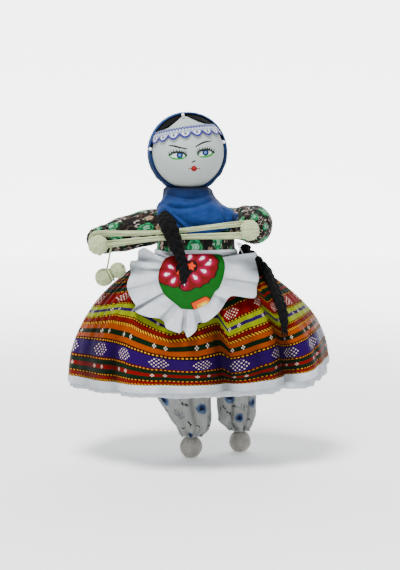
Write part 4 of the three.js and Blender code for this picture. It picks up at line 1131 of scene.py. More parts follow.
def white_finish(name, width, length, shade=None):
    finish = Finish(name, roughness=0.85, sheen=0.04, specular=0.15)
    u, v = finish.along_cloth(width, length)
    weave = finish.threads(u, v, 0.45)
    place = finish.place()
    patches = finish.noise(place, 8.0, 3.0)
    colour = finish.mix(patches, dyes().white_shaded, dyes().white_lit)
    if shade:
        colour = finish.tinted(colour, finish.painted(shade))
    height = finish.sum(finish.times(weave, 0.5), finish.times(finish.noise(place, 3.0, 3.0), 1.5))
    return finish.done(colour, finish.relief(height, 0.12))


def fold_shade(lift, pace):
    """How much light folds keep, for heights in millimetres: valleys are darker, ridges a little brighter."""
    return np.clip(0.92 + pace * lift, 0.34, 1.12)[:, None]


def make_skirt():
    drop = CLOTH_DROP - BAND_WIDTH

    def skirt_place(u, v):
        share = np.interp((1 - v) * drop, DROP_LENGTH, DROP_SHARE)
        return skirt_point(from_back(u), share)

    mesh = cloth_grid("skirt_cloth", 540, 90, skirt_place, wrap=True)
    u, v = uv_of(mesh).T
    lift = skirt_fold(from_back(u), np.interp((1 - v) * drop, DROP_LENGTH, DROP_SHARE))
    paint(mesh, "fold_shade", fold_shade(lift, 0.16))
    loops = loop_uvs(mesh)
    loops[:, 1] = stripe_height(CIRCLE * loops[:, 0] + pi / 2, loops[:, 1] * drop) / drop
    loops[:, 0] = np.interp(360 * loops[:, 0] + 90, *np.transpose(RIBBON_REPEATS)) * RIBBON_REPEAT / HEM_GIRTH
    mesh.uv_layers["cloth"].data.foreach_set("uv", loops.ravel())
    brocade = brocade_finish("ribbon brocade")
    mesh = face_outward_from(mesh, (0, 0, 130))
    skirt = dressed("skirt_cloth", mesh, "torso", "brocade", brocade, "skirt", sizes().brocade)

    def band_place(u, v):
        share = np.interp((1 - v) * BAND_WIDTH + drop - 0.4, DROP_LENGTH, DROP_SHARE)
        swell = 0.35 + 0.5 * np.sin(pi * v) ** 0.5
        return skirt_point(from_back(u), share, swell)

    mesh = sheet_mesh("hem_band_cloth", 640, 12, band_place, (0, 0, 80))
    angle = from_back(uv_of(mesh)[:, 0])
    lift = 0.7 * skirt_fold(angle, 1.0) + 0.8 * crumple(angle, 0.0, 43, 9, 1.0, 6.0)
    paint(mesh, "fold_shade", fold_shade(lift, 0.10))
    finish = white_finish("white hem cotton", 760, 8, "fold_shade")
    band = dressed("hem_band_cloth", mesh, "torso", "white_cotton", finish, "skirt_hem_band", HEM_BAND_WALL)

    def frill_place(u, v):
        angle = from_back(u)
        share = 0.05 + (1 - v) * 0.98
        frill = ease(0.80, 1.03, share)
        ruffle = 1.3 * np.sin(70 * angle + 3 * np.sin(4 * angle)) + 0.9 * np.sin(31 * angle)
        points = skirt_point(angle, share, -2.6 + (ruffle - 0.6) * frill, PETTICOAT_RISE_SHARE)
        points[:, 2] -= frill * (0.6 + 0.5 * np.sin(17 * angle))
        return points

    mesh = sheet_mesh("petticoat_cloth", 620, 60, frill_place, (0, 0, 130))
    finish = white_finish("white petticoat cotton", 740, 150)
    petticoat = dressed("petticoat_cloth", mesh, "torso", "white_cotton", finish, "petticoat", sizes().cotton)


# Folds of the ruffle, in the photograph's pixels, from its top left corner to its top right one: where each
# starts at the panel's edge, where it ends at the rim, and how far it stands out there, in millimetres
RUFFLE_FOLDS = (
    (170, 256.5, 162, 254, 0.5), (166, 258, 151.8, 252.6, -0.5), (164.5, 259.5, 144.2, 248, 2.5),
    (163, 261.5, 138.2, 251, 0.5), (162, 263.5, 137.2, 259.5, -2.3), (161, 266, 131.2, 260.8, 2.2),
    (159.9, 268.5, 129.4, 266, 1), (159.2, 271, 130.8, 273, -2.3), (158.6, 274, 128.4, 279.8, 2.2),
    (158.2, 278, 127, 286, 1), (158.8, 282.5, 128.5, 292.5, -1), (160.2, 286.8, 132, 299.8, 1.5),
    (162.2, 291, 135.7, 305.5, 2.5), (163.8, 293.8, 134.4, 309.6, -2.5), (166, 296.2, 138, 313.3, 2),
    (170, 299.6, 148, 316.9, 1), (174, 302.8, 158, 318.2, 0), (177.3, 305.5, 163.8, 321.5, -1.8),
    (179.3, 307.2, 166.2, 328, 1.5), (181.3, 308.7, 173, 331, 2), (183.8, 309, 179.8, 333, 0.5),
    (186, 309.2, 183.6, 330.6, -2.5), (188.3, 309.4, 187.5, 337.2, 2.6), (190.8, 309.5, 192.2, 334.2, 2),
    (193, 309.6, 196.4, 330, 0), (195, 309.3, 198, 323, -2.5), (198, 308.4, 204.5, 322.5, 1.2),
    (203, 306.2, 211, 318.8, 1.6), (208.2, 303.2, 219.6, 310.9, 0), (211.7, 297.8, 224.5, 304, -1.6),
    (214.9, 292.2, 229, 297.5, 1.5), (218.8, 288.4, 235, 295.6, 1.2), (220.5, 285.2, 254.5, 297.5, 0.6),
    (222.3, 280.5, 256.8, 287, -1.6), (223.9, 275, 258.9, 278.5, 1.4), (225, 268, 257.6, 270, 0.4),
    (224.6, 262, 257.2, 260, -0.9), (222.5, 257, 255.8, 252.4, 0.8),
)
# The panel's top edge, on from the ruffle's last fold back to its first, in the photograph's pixels
PANEL_TOP = ((219.6, 254.6), (214, 254.2), (205, 254), (196.4, 254), (188, 254), (182, 254.3), (175, 255.2))
PANEL_HEART = np.array([191.0, 278.0])
# A place behind the apron, in millimetres, that its cloths face away from
APRON_BACK = (-8, 60, 180)


def skirt_front_depth(x, z):
    """How far forward the skirt's plain bell stands under a place on the apron."""
    middle, half_width, half_depth = bell(np.clip(down_skirt(z), 0, 1))
    wide = np.maximum(half_width, 62)
    return -(half_depth + 3.4) * np.sqrt(np.clip(1 - ((x - middle) / wide) ** 2, 0.05, 1))


def behind_pixels(across, down, stand):
    """Places on the apron that the camera sees at some pixels, standing some millimetres off the skirt."""
    right = (across - PHOTO_WIDTH / 2) / PIXELS_PER_TANGENT
    up = (PHOTO_HEIGHT / 2 - down) / PIXELS_PER_TANGENT
    rays = CAMERA_FORWARD + right[:, None] * np.array([1.0, 0.0, 0.0]) + up[:, None] * CAMERA_UP
    depth = np.full(len(across), -60.0)
    for _ in range(8):
        points = CAMERA_PLACE + rays * ((depth - CAMERA_PLACE[1]) / rays[:, 1])[:, None]
        depth = skirt_front_depth(points[:, 0], points[:, 2]) - stand
    return points


# The apron's printed flower, in the photograph's pixels: its rim, and each petal's place, half-sizes and lean
FLOWER_RIM = (
    (158, 281), (163.4, 285), (168.8, 286), (173.6, 288.2), (178.8, 287.2), (182.1, 291), (186.8, 291.6),
    (191.6, 290.6), (195.6, 287.8), (200.4, 288.2), (204.4, 284.6), (208.9, 283.4), (211.2, 279.2),
    (215.4, 277.4), (217, 271.8), (219, 268.4), (218.6, 264.6), (219.8, 260.6), (217.2, 258), (215, 255),
    (205, 251), (185, 250), (165, 252), (152, 268),
)
PETALS = (
    (208, 263.8, 7.4, 4.4, -22), (203.4, 270.9, 7.4, 4.6, 24), (194.8, 277, 7.6, 4.8, 48),
    (184.4, 282.4, 6.6, 4.6, 90), (173.6, 280.2, 6.0, 4.4, 125), (167.2, 274.3, 6.2, 4.2, 170),
    (171.2, 267.2, 6.2, 3.6, 208), (201.8, 258.4, 6.6, 4.2, -32), (189.5, 257.6, 5.6, 4.4, -62),
)


def paint_apron(mesh):
    """A printed folk flower: crimson petals with white drops round an orange star."""
    art = Brushwork(seen_at(points_of(mesh)), dye("#0C8A33"), softness=0.35)
    black, crimson, magenta = dye("#1A0508"), dye("#A00024"), dye("#B41660")
    heart = np.array([184.5, 269.0])
    art.patch(FLOWER_RIM, black)
    art.patch([heart + (np.array(place) - heart) * 0.955 for place in FLOWER_RIM], crimson)
    for across, down, length, breadth, lean in PETALS:
        way = np.array([cos(radians(lean)), sin(radians(lean))])
        side = square_to(way)
        middle = np.array([across, down])
        art.line([heart + way * 8 + side * 5.4, middle + way * 7 + side * 5.6], 0.5, dye("#6A0018"), 0.8)
        art.spot(middle + way * 0.8, length, breadth, magenta, lean, 0.75)
        art.spot(middle + way * 0.6, length * 0.72, breadth * 0.66, dye("#C8307C"), lean, 0.7)
        drop = ((-2.9, 0), (-0.8, 1.1), (1.6, 1.7), (3.2, 0), (1.6, -1.7), (-0.8, -1.1))
        art.patch([middle + way * along + side * beside for along, beside in drop], dye("#F6EEF4"))
        art.spot(middle + way * 1.3, 1.5, 1.0, dye("#FFFFFF"), lean)
    art.spot((210.3, 260.2), 1.0, 1.0, dye("#F6EEF4"))
    art.spot(heart, 9.0, 7.6, black)
    star = np.array([191.4, 266.2])
    points = []
    for tip in range(5):
        for reach, turn in ((5.0, 0), (2.5, 36)):
            angle = radians(-90 + 12 + tip * 72 + turn)
            points.append(star + reach * heading(angle))
    orange = dye("#F06A0A")
    art.spot(star, 6.2, 6.0, black)
    for tip in range(5):
        point = points[2 * tip] * 0.9 + star * 0.1
        art.patch([points[2 * tip - 1], point, points[2 * tip + 1], star], orange)
    art.spot(star, 2.6, 2.6, orange)
    art.patch([(176.6, 273.4), (179.4, 270.2), (180.2, 274.6)], orange)
    art.patch([(183.2, 274.6), (185.6, 272.0), (186.0, 275.2)], orange)
    corner = ((190.9, 303.3), (205.4, 296.2), (210.6, 298.8), (208.2, 304.4), (194.6, 311.5))
    art.patch(corner, dye("#E87C00"), straight=True)
    lit = ((196.6, 305.4), (204.6, 301.0), (209.4, 300.6), (208.0, 304.2), (198.2, 309.6))
    art.patch(lit, dye("#EEC400"), straight=True)
    art.patch([(201.0, 304.6), (205.4, 302.6), (206.2, 304.2), (202.6, 306.2)], dye("#F4E68C"))
    art.line([*corner, corner[0]], 0.9, black)
    paint(mesh, "apron_paint", art.colour)


def make_apron():
    folds = np.asarray(RUFFLE_FOLDS, float)
    outline = np.vstack([folds[:, :2], PANEL_TOP])

    def panel_place(u, v):
        rim = smooth_curve(outline, u, closed=True)
        place = PANEL_HEART + (rim - PANEL_HEART) * v[:, None]
        ripple = 0.4 * crumple(place[:, 0] / 40, place[:, 1] / 40, 51, 7, 0.6, 2.5)
        return behind_pixels(place[:, 0], place[:, 1], 1.2 + ripple)

    mesh = sheet_mesh("apron_cloth", 400, 90, panel_place, APRON_BACK)
    paint_apron(mesh)
    finish = Finish("printed apron cotton", roughness=0.7, specular=0.1)
    place = finish.place()
    x, _, z = finish.split(place)
    weave = finish.sum(finish.times(finish.threads(x, z, 0.4), 0.5), finish.noise(place, 2.5, 3.0))
    tone = finish.ramp(finish.noise(place, 6.0, 3.0), [(0.3, (0.84, 0.84, 0.84)), (0.7, (1.0, 1.0, 1.0))])
    colour = finish.tinted(finish.painted("apron_paint"), tone)
    cotton = finish.done(colour, finish.relief(weave, 0.1))
    piece = dressed("apron_cloth", mesh, "torso", "apron_print", cotton, "apron_panel", sizes().cotton)

    def ruffle_place(u, v):
        row = smooth_curve(folds, u)
        reach = 1 - v
        pleat = np.tanh(row[:, 4] * 0.8) * np.where(row[:, 4] < 0, 6.2, 2.6)
        wavy = 1 + 0.10 * np.sin(pi * v) * np.sin(60 * u)
        across = row[:, 0] + (row[:, 2] - row[:, 0]) * reach * wavy
        down = row[:, 1] + (row[:, 3] - row[:, 1]) * reach * wavy
        stand = 1.4 + 0.8 * reach + (pleat + 6.2) * (0.2 + 0.8 * reach**0.7)
        stand += 0.7 * crumple(u * 14, v * 0.6, 61, 9, 0.6, 2.4)
        return behind_pixels(across, down, stand)

    mesh = sheet_mesh("apron_frill", 620, 48, ruffle_place, APRON_BACK, wrap=False)
    u, v = uv_of(mesh).T
    lift = smooth_curve(folds, u)[:, 4] * (1 - 0.6 * v) - 1.5 * ease(0.75, 1.0, v)
    lift += 0.9 * crumple(u * 9, v, 62, 7, 0.6, 2.0)
    paint(mesh, "frill_shade", fold_shade(np.minimum(lift, 1.0), 0.13))
    finish = white_finish("white frill cotton", 250, 25, "frill_shade")
    frill = dressed("apron_frill", mesh, "torso", "white_cotton", finish, "apron_ruffle", sizes().cotton)

    def band_place(u, v):
        angle = from_back(u)
        round_out = 0.5 * np.sin(pi * v) ** 0.5 - 1.7 * ease(0.72, 1.0, v)
        x, y = rounded_ring(angle, 41.0 + round_out, 32.4 + 2 * round_out, 2.4)
        droop = 1.6 * ease(-8, -36, x - 4) * ease(0, -25, y)
        z = 203.6 + 6.0 * v - droop + 0.3 * crumple(u * 9, v, 71, 7, 0.6, 3.0)
        return places(x - 4, y, z)

    mesh = sheet_mesh("waistband_cloth", 240, 14, band_place, (0, 0, 207))
    finish = white_finish("white waistband cotton", 230, 7)
    wall = sizes().cotton
    waist = dressed("waistband_cloth", mesh, "torso", "white_cotton", finish, "apron_waistband", wall)


def floral_colours(spots, seed, ground, kinds):
    """Printed flowers scattered on a cloth laid out flat in millimetres, kind by kind: the reach of each, its
    drawing, how many tries it gets and how much room it keeps."""
    dice = np.random.default_rng(seed)
    art = Brushwork(spots, ground, softness=0.16)
    low, high = spots.min(0), spots.max(0)
    placed = []
    for reach, draw, tries, room in kinds:
        for _ in range(tries):
            centre = low + (high - low) * dice.random(2)
            size = reach * dice.uniform(0.8, 1.15)
            if all(np.hypot(*(centre - other)) > (size + other_size) * room for other, other_size in placed):
                placed.append((centre, size))
                draw(art, centre, size, dice)
    return art.colour


def print_rose(art, centre, reach, dice):
    """An emerald rose with pale curled edges."""
    turn = dice.uniform(0, 360)
    art.spot(centre, reach, reach * 0.9, dye("#06402C"), turn)
    for petal in range(6):
        angle = radians(turn + petal * 60 + dice.uniform(-12, 12))
        way = heading(angle)
        spot = centre + way * reach * 0.58
        green = dye(["#16A878", "#0E8E60"][petal % 2])
        art.spot(spot, reach * 0.42, reach * 0.34, green, degrees(angle) + 90)
        side = square_to(way) * reach * 0.25
        curl = [spot - side + way * reach * 0.06, spot + way * reach * 0.18, spot + side]
        art.line(curl, 0.5, dye("#7FDCB0"))
    art.spot(centre, reach * 0.34, reach * 0.26, dye("#1CB888"), turn)
    for share in (-0.22, 0.04, 0.26):
        stamen = centre + reach * np.array([(share, -0.28), (share + 0.12, 0.02), (share - 0.05, 0.32)])
        art.curve(stamen, 0.45, dye("#D9F4E6"))


def print_blossom(art, centre, reach, dice):
    """A small beige blossom with red dots."""
    colour = dye(["#D0BCA8", "#B8A494", "#DCCCC0"][int(dice.integers(3))])
    turn = dice.uniform(0, 72)
    art.spot(centre, reach, reach * 0.95, dye("#2A1612"))
    for petal in range(5):
        angle = radians(turn + petal * 72)
        art.spot(centre + reach * 0.52 * heading(angle), reach * 0.38, reach * 0.3, colour, degrees(angle))
        art.spot(centre + reach * 0.26 * heading(angle + 0.6), 0.3, 0.3, dye("#A02C22"))


def print_curl(art, centre, reach, dice):
    """A small brown, beige or dark green curl."""
    angle = dice.uniform(0, CIRCLE)
    way = heading(angle) * reach
    side = square_to(way)
    colour = dye(["#6A5444", "#8E7A68", "#C8B8B0", "#127A52", "#5C4438", "#E0D8D0"][int(dice.integers(6))])
    bends = ((-1, 0), (-0.3, 0.6), (0.5, 0.2), (0.2, -0.3))
    curl = [centre + way * along + side * beside for along, beside in bends]
    art.curve(curl, (0.4, 0.75, 0.6, 0.3), colour, 1.0, 10)


def print_speck(art, centre, reach, dice):
    """A white, beige or emerald fleck."""
    colour = dye(["#F0F0EA", "#A8948A", "#6E5A4C", "#149464", "#D8C8C0"][int(dice.integers(5))])
    art.spot(centre, reach, reach * dice.uniform(0.35, 0.8), colour, dice.uniform(0, 180))


BODICE_PRINTS = (
    (6.6, print_rose, 90, 1.2), (3.6, print_blossom, 60, 0.95), (2.0, print_curl, 900, 0.6),
    (0.85, print_speck, 1700, 0.7),
)


def print_navy_flower(art, centre, reach, dice):
    """A round blue flower with a navy heart and soft petals."""
    turn = dice.uniform(0, 60)
    for petal in range(6):
        angle = radians(turn + petal * 60)
        spot = centre + reach * 0.48 * heading(angle)
        blue = dye(["#8FA2BC", "#6E86A8"][petal % 2])
        art.spot(spot, reach * 0.5, reach * 0.42, blue, degrees(angle) + 70, 0.85)
    art.spot(centre + (0.1, -0.12 * reach), reach * 0.5, reach * 0.42, dye("#3A5480"), turn)
    art.spot(centre, reach * 0.3, reach * 0.24, dye("#14203C"), turn)


def print_leaf_spray(art, centre, reach, dice):
    """Two dark pointed leaves on a thin stalk."""
    angle = dice.uniform(0, CIRCLE)
    way = heading(angle) * reach
    side = square_to(way)
    art.curve([centre - way, centre + side * 0.2, centre + way * 0.8], 0.45, dye("#4A5450"))
    for share, hand, colour in ((-0.1, 1, "#26302C"), (0.35, -1, "#3A4A44")):
        foot = centre + way * share
        tip = foot + way * 0.62 + side * 0.34 * hand
        swell = (foot + tip) / 2 + side / reach * 0.3 * hand
        art.curve([foot, swell, tip], (0.5, reach * 0.36, 0.3), dye(colour))


def print_grey_outline(art, centre, reach, dice):
    """A flower drawn in thin slate lines, with open petals."""
    turn = dice.uniform(0, 72)
    slate = dye("#56667A")
    for petal in range(5):
        angle = radians(turn + petal * 72)
        way = heading(angle) * reach
        side = square_to(way) * 0.3
        petal_line = [centre, centre + way * 0.6 + side, centre + way, centre + way * 0.6 - side, centre]
        art.curve(petal_line, (0.4, 0.55, 0.6, 0.55, 0.4), slate, 0.85, 12)


TROUSER_PRINTS = (
    (6.6, print_navy_flower, 60, 1.45), (5.2, print_grey_outline, 110, 1.15),
    (4.8, print_leaf_spray, 260, 0.95), (0.45, print_speck, 260, 1.5),
)


def printed_finish(name, attribute, roughness=0.75):
    finish = Finish(name, roughness=roughness, sheen=0.03, specular=0.15)
    place = finish.place()
    x, y, z = finish.split(place)
    weave = finish.threads(finish.sum(x, y), z, 0.4)
    tone = finish.ramp(finish.noise(place, 5.0, 3.0), [(0.3, (0.82, 0.82, 0.82)), (0.7, (1.0, 1.0, 1.0))])
    colour = finish.tinted(finish.painted(attribute), tone)
    height = finish.sum(finish.times(weave, 0.4), finish.times(finish.noise(place, 2.2, 3.0), 1.3))
    return finish.done(colour, finish.relief(height, 0.12))


def make_bodice():
    rings = [(199, -5, 38.2, 27.6), (206, -4, 39.1, 28.1), (220, -4, 38.6, 27.6), (232, -4, 38.8, 27.4),
             (240, -4.5, 37.0, 25.8), (246, -5, 34.3, 23.3), (250.5, -6, 28.5, 21.0)]

    def place(u, v):
        angle = from_back(u)
        row = smooth_curve(rings, v)
        soft = 0.35 * crumple(u * 4, v * 2, 33, 9, 0.6, 3) + 0.3 * np.sin(22 * angle) * ease(0.35, 0.0, v)
        x, y = rounded_ring(angle, row[:, 2] + soft, row[:, 3] + soft, 2.5)
        return places(row[:, 1] + x, y, row[:, 0])

    mesh = sheet_mesh("bodice_cloth", 380, 90, place, (0, 0, 225))
    uv = uv_of(mesh) * (225, 52)
    paint(mesh, "bodice_paint", floral_colours(uv, 7, dyes().print_ground, BODICE_PRINTS))
    cotton = printed_finish("black flowered cotton", "bodice_paint")
    piece = dressed("bodice_cloth", mesh, "torso", "floral_print", cotton, "bodice", THIN_CLOTH)


SLEEVE_AROUND = 260
SLEEVE_ROWS = 190


def sleeve_mesh(name, stations, seed):
    """A stuffed sleeve along stations of place and radius, with cross wrinkles and gathers at its cuff."""
    line = smooth_curve(stations, np.linspace(0, 1, SLEEVE_ROWS + 1))
    sides, ups = carried_frames(line[:, :3])

    def place(u, v):
        row = np.rint(v * SLEEVE_ROWS).astype(int)
        angle = CIRCLE * u
        soft = 0.55 * crumple(u * 2, v * 3, seed, 9, 0.6, 3.0) * np.sin(pi * np.clip(v, 0.02, 0.98)) ** 0.4
        pleat = 0.5 * np.sin(17 * angle + 2 * np.sin(3 * angle)) * ease(0.62, 0.97, v)
        wrinkle = 0.45 * np.sin(CIRCLE * 6.5 * v + 1.8 * np.cos(angle)) * ease(0.0, 0.2, v)
        wrinkle *= 1 - ease(0.75, 0.95, v)
        radius = np.maximum(line[row, 3] + soft + pleat + wrinkle, 0.05)
        radius = np.where(line[row, 3] < 0.1, 0.0, radius)[:, None]
        way = sides[row] * np.cos(angle)[:, None] + ups[row] * np.sin(angle)[:, None]
        return line[row, :3] + way * radius

    return face_outward(cloth_grid(name, SLEEVE_AROUND, SLEEVE_ROWS, place, wrap=True))


# Sleeve routes from the shoulder to the wrist: place and radius, in millimetres
RIGHT_SLEEVE = (
    (-24, 0, 234, 0.02), (-25, 0, 234, 9), (-30, 0, 234, 14.6), (-37, 0, 233.8, 16.4), (-47, -1, 231.8, 17.4),
    (-58, -3.5, 228.6, 17.8), (-72, -7, 225.0, 17.2), (-84, -10.5, 221.8, 15.8), (-92, -13.0, 219.8, 14.3),
    (-96.3, -17.5, 219.2, 13.7), (-98.2, -23.5, 219.4, 12.8), (-98.9, -27.3, 219.8, 10.6),
    (-98.9, -27.9, 219.9, 5.0), (-98.9, -28.0, 219.9, 0.02),
)
LEFT_SLEEVE = (
    (22, 0, 235, 0.02), (23, 0, 235, 9), (28, 0, 235, 14.2), (35, 0, 234.8, 16.0), (43, -1.5, 234.8, 17.0),
    (50, -7, 234.6, 17.9), (53.5, -16, 234.2, 18.2), (53, -25, 233.3, 17.6), (51, -32.5, 232.2, 16.4),
    (49, -39, 231.4, 14.4), (47.9, -42.5, 231.1, 11.6), (47.6, -43.8, 231.0, 6.0), (47.5, -43.9, 231.0, 0.02),
)


def make_sleeves():
    for name, node, body, stations, seed in (
        ("sleeve_right", "right_sleeve", "right_arm", RIGHT_SLEEVE, 101),
        ("sleeve_left", "left_sleeve", "left_arm", LEFT_SLEEVE, 102),
    ):
        mesh = sleeve_mesh(name, stations, seed)
        uv = uv_of(mesh) * (108, 84)
        paint(mesh, "sleeve_paint", floral_colours(uv, seed, dyes().print_ground, BODICE_PRINTS))
        cotton = printed_finish(name + " cotton", "sleeve_paint")
        piece = dressed(name, mesh, body, "floral_print", cotton, node)


# Where the wrists stand and how the skein runs, in millimetres, as in the part's source
RIGHT_WRIST = np.array([-99.0, -30.5, 220.0])
LEFT_WRIST = np.array([47.5, -46.5, 231.0])
SKEIN_TURNS = 3
SKEIN_PITCH = 1.96
SKEIN_INNER_RADIUS = 2.7
SKEIN_WAIST = 1.15
SKEIN_END_SHARE = 0.25
TIE_RADIUS = 7.0
YARN_GIRTH = 5.6
BUNDLE_LEAN = radians(27)
SPAN = LEFT_WRIST - RIGHT_WRIST
STRAND_DROP = SKEIN_INNER_RADIUS + 2.65 * SKEIN_PITCH + 1.0
STRAND_TOP = RIGHT_WRIST + SPAN * 0.085 + np.array([0, SKEIN_PITCH / 2, -STRAND_DROP])
BUNDLE_CENTRE = STRAND_TOP + np.array([-0.5, 0, -25.5])
BUNDLE_AXIS = np.array([cos(BUNDLE_LEAN), 0, sin(BUNDLE_LEAN)])
BUNDLE_UP = np.array([-sin(BUNDLE_LEAN), 0, cos(BUNDLE_LEAN)])


def yarn_finish(name, twist_pitch, girth, length):
    """Softly plied wool: fibres that slant a little along the yarn's own length, with fuzz."""
    finish = Finish(name, roughness=0.92, sheen=0.12, specular=0.12)
    u, v = finish.along_cloth(girth, length)
    slant = finish.sum(u, finish.times(v, girth / twist_pitch))
    fibres = finish.noise(finish.vector(slant, finish.times(v, 0.06)), 0.55, 3.0, 0.7)
    fuzz = finish.noise(finish.place(), 0.4, 3.0, 0.7)
    depth = finish.sum(finish.times(fibres, 0.7), finish.times(fuzz, 0.3))
    tone = finish.ramp(depth, [(0.35, dyes().wool_shaded), (0.6, dyes().wool)])
    return finish.done(tone, finish.relief(depth, 0.14))


def skein_place(turn):
    """The middle of the skein's yarn after so many turns round both wrists."""
    phase = turn - np.floor(turn)
    climb = ease(SKEIN_TURNS - 0.15, SKEIN_TURNS + 0.15, turn)
    outward = np.where(turn < SKEIN_TURNS, turn, 2 * SKEIN_TURNS - turn)
    offset = np.maximum(outward, 0) * SKEIN_PITCH
    along = unit(SPAN)
    across = unit(np.array([-along[2], 0, along[0]]))
    half_phase = np.where(phase < 0.5, phase, phase - 0.5)
    at_end = half_phase < SKEIN_END_SHARE
    at_right = phase < 0.5
    sweep = half_phase / SKEIN_END_SHARE * pi
    angle = np.where(at_right, -pi / 2, pi / 2) - sweep
    radius = SKEIN_INNER_RADIUS + offset
    wrist = np.where(at_right[:, None], RIGHT_WRIST, LEFT_WRIST)
    round_end = wrist + along * (np.cos(angle) * radius)[:, None] + across * (np.sin(angle) * radius)[:, None]
    run = np.clip((half_phase - SKEIN_END_SHARE) / (0.5 - SKEIN_END_SHARE), 0, 1)
    share = np.where(at_right, run, 1 - run)
    drawn = np.sin(pi * share**0.85) ** 1.6
    inner = SKEIN_INNER_RADIUS + (SKEIN_WAIST - SKEIN_INNER_RADIUS) * drawn
    side = np.where(at_right, 1, -1)
    reach = side * (inner + offset * (1 - 0.4 * drawn))
    straight = RIGHT_WRIST + SPAN * share[:, None] + across * reach[:, None]
    points = np.where(at_end[:, None], round_end, straight)
    beside = 0.6 * np.sin(pi * np.floor(outward + 0.5) + pi / 2) * np.where(at_end, 0, drawn)
    points[:, 1] -= (climb - 0.5) * SKEIN_PITCH + beside
    return points


def make_skein():
    turns = np.linspace(0, 2 * SKEIN_TURNS, 560)
    points = skein_place(turns)
    dice = np.random.default_rng(17)
    loose = np.cumsum(dice.normal(0, 0.05, (len(points), 3)), axis=0)
    loose -= np.linspace(loose[0], loose[-1], len(points))
    points = points + 0.25 * np.tanh(loose)
    length = np.linalg.norm(np.diff(points, axis=0), axis=1).sum()
    radii = sizes().yarn / MM / 2 + 0.05 * np.sin(np.arange(len(points)) * 0.9)
    wool = yarn_finish("skein wool", 60.0, YARN_GIRTH, length)
    dressed("skein_yarn", tube_mesh("skein_yarn", points, radii), "right_arm", "wool", wool, "skein")


def strand_points():
    """The hanging strand's route: down from the skein, then tied round the bundle's waist."""
    tie_start = BUNDLE_CENTRE + BUNDLE_UP * TIE_RADIUS
    points = [STRAND_TOP + np.array([0, 0, -0.35])]
    for step in range(1, 6):
        points.append(STRAND_TOP + (tie_start - STRAND_TOP) * step / 6)
    for step in range(15):
        angle = step / 14 * 1.75 * pi
        points.append(
            BUNDLE_CENTRE
            + BUNDLE_AXIS * (-0.2 + 0.4 * step / 14)
            + BUNDLE_UP * (cos(angle) * TIE_RADIUS)
            + np.array([0, -sin(angle) * TIE_RADIUS, 0])
        )
    return np.array(points)


WINDING_STEPS = 26


def ball_winding(middle, radius, turns, tilt, drift):
    """Yarn wound round a ball in great circles whose axis drifts round the bundle's own axis."""
    share = np.linspace(0, 1, turns * WINDING_STEPS)
    spin = CIRCLE * turns * share
    drifted = drift * share * CIRCLE
    side = np.array([0.0, 1.0, 0.0])
    pole = np.cos(drifted)[:, None] * BUNDLE_UP + np.sin(drifted)[:, None] * side
    other = -np.sin(drifted)[:, None] * BUNDLE_UP + np.cos(drifted)[:, None] * side
    first = unit(cos(tilt) * BUNDLE_AXIS + sin(tilt) * pole)
    reach = radius * (1 + 0.015 * np.sin(spin * 0.37))
    return middle + first * (np.cos(spin) * reach)[:, None] + other * (np.sin(spin) * reach)[:, None]


def make_bundle():
    lobes = ((-7.2, 8.1), (7.8, 7.2))

    def heart_place(way):
        along = 16.0 * way[2]
        width = max(sqrt(max(0.0, radius**2 - (along - middle) ** 2)) for middle, radius in lobes)
        width = max(width, 4.6 * exp(-(((along - 0.4) / 3.4) ** 2)), 0.01)
        x, y = way[:2] / (hypot(way[0], way[1]) or 1.0) * width
        return BUNDLE_CENTRE + BUNDLE_AXIS * along + BUNDLE_UP * x + np.array([0, y, 0])

    # The core that shows between the windings takes the shaded wool, a painted shade between them, with
    # random patches of the lit wool
    felt = felt_finish("inner wool", dyes().wool_shaded, dyes().wool)
    mesh = ball_mesh("bundle_heart", 72, 60, heart_place)
    heart = dressed("bundle_heart", mesh, "wool_bundle", "wool", felt, "wool_bundle_core")
    windings = []
    for number, (middle, radius) in enumerate(lobes):
        centre = BUNDLE_CENTRE + BUNDLE_AXIS * middle
        for layer, (tilt, drift) in enumerate(((0.62, 0.5), (0.95, -0.5), (0.25, 0.5))):
            reach = radius - 0.25 + 0.22 * layer
            route = ball_winding(centre, reach, 15 - 2 * layer, tilt, drift + 0.07 * number)
            windings.append(tube_mesh("winding", route, 0.62, 6))
    mesh = joined("bundle_winding", windings)
    wool = yarn_finish("wound wool", 14.0, 3.9, 560)
    winding = dressed("bundle_winding", mesh, "wool_bundle", "wool", wool, "wool_bundle_winding")
    points = smooth_curve(strand_points(), np.linspace(0, 1, 150))
    mesh = tube_mesh("hanging_yarn", points, sizes().yarn / MM / 2)
    wool = yarn_finish("hanging wool", 16.0, YARN_GIRTH, 58)
    strand = dressed("hanging_yarn", mesh, "wool_bundle", "wool", wool, "yarn_strand")
    [tuple(point) for point in points * MM]


# Each hand's node, body and wrist, how far it hangs below it, the turn of its crease and its seed
HANDS = (
    ("hand_right", "right_hand", "right_arm", RIGHT_WRIST, 5.0, radians(80), 3),
    ("hand_left", "left_hand", "left_arm", LEFT_WRIST, 0.5, radians(4), 4),
)
NOTCHED_HAND = 3


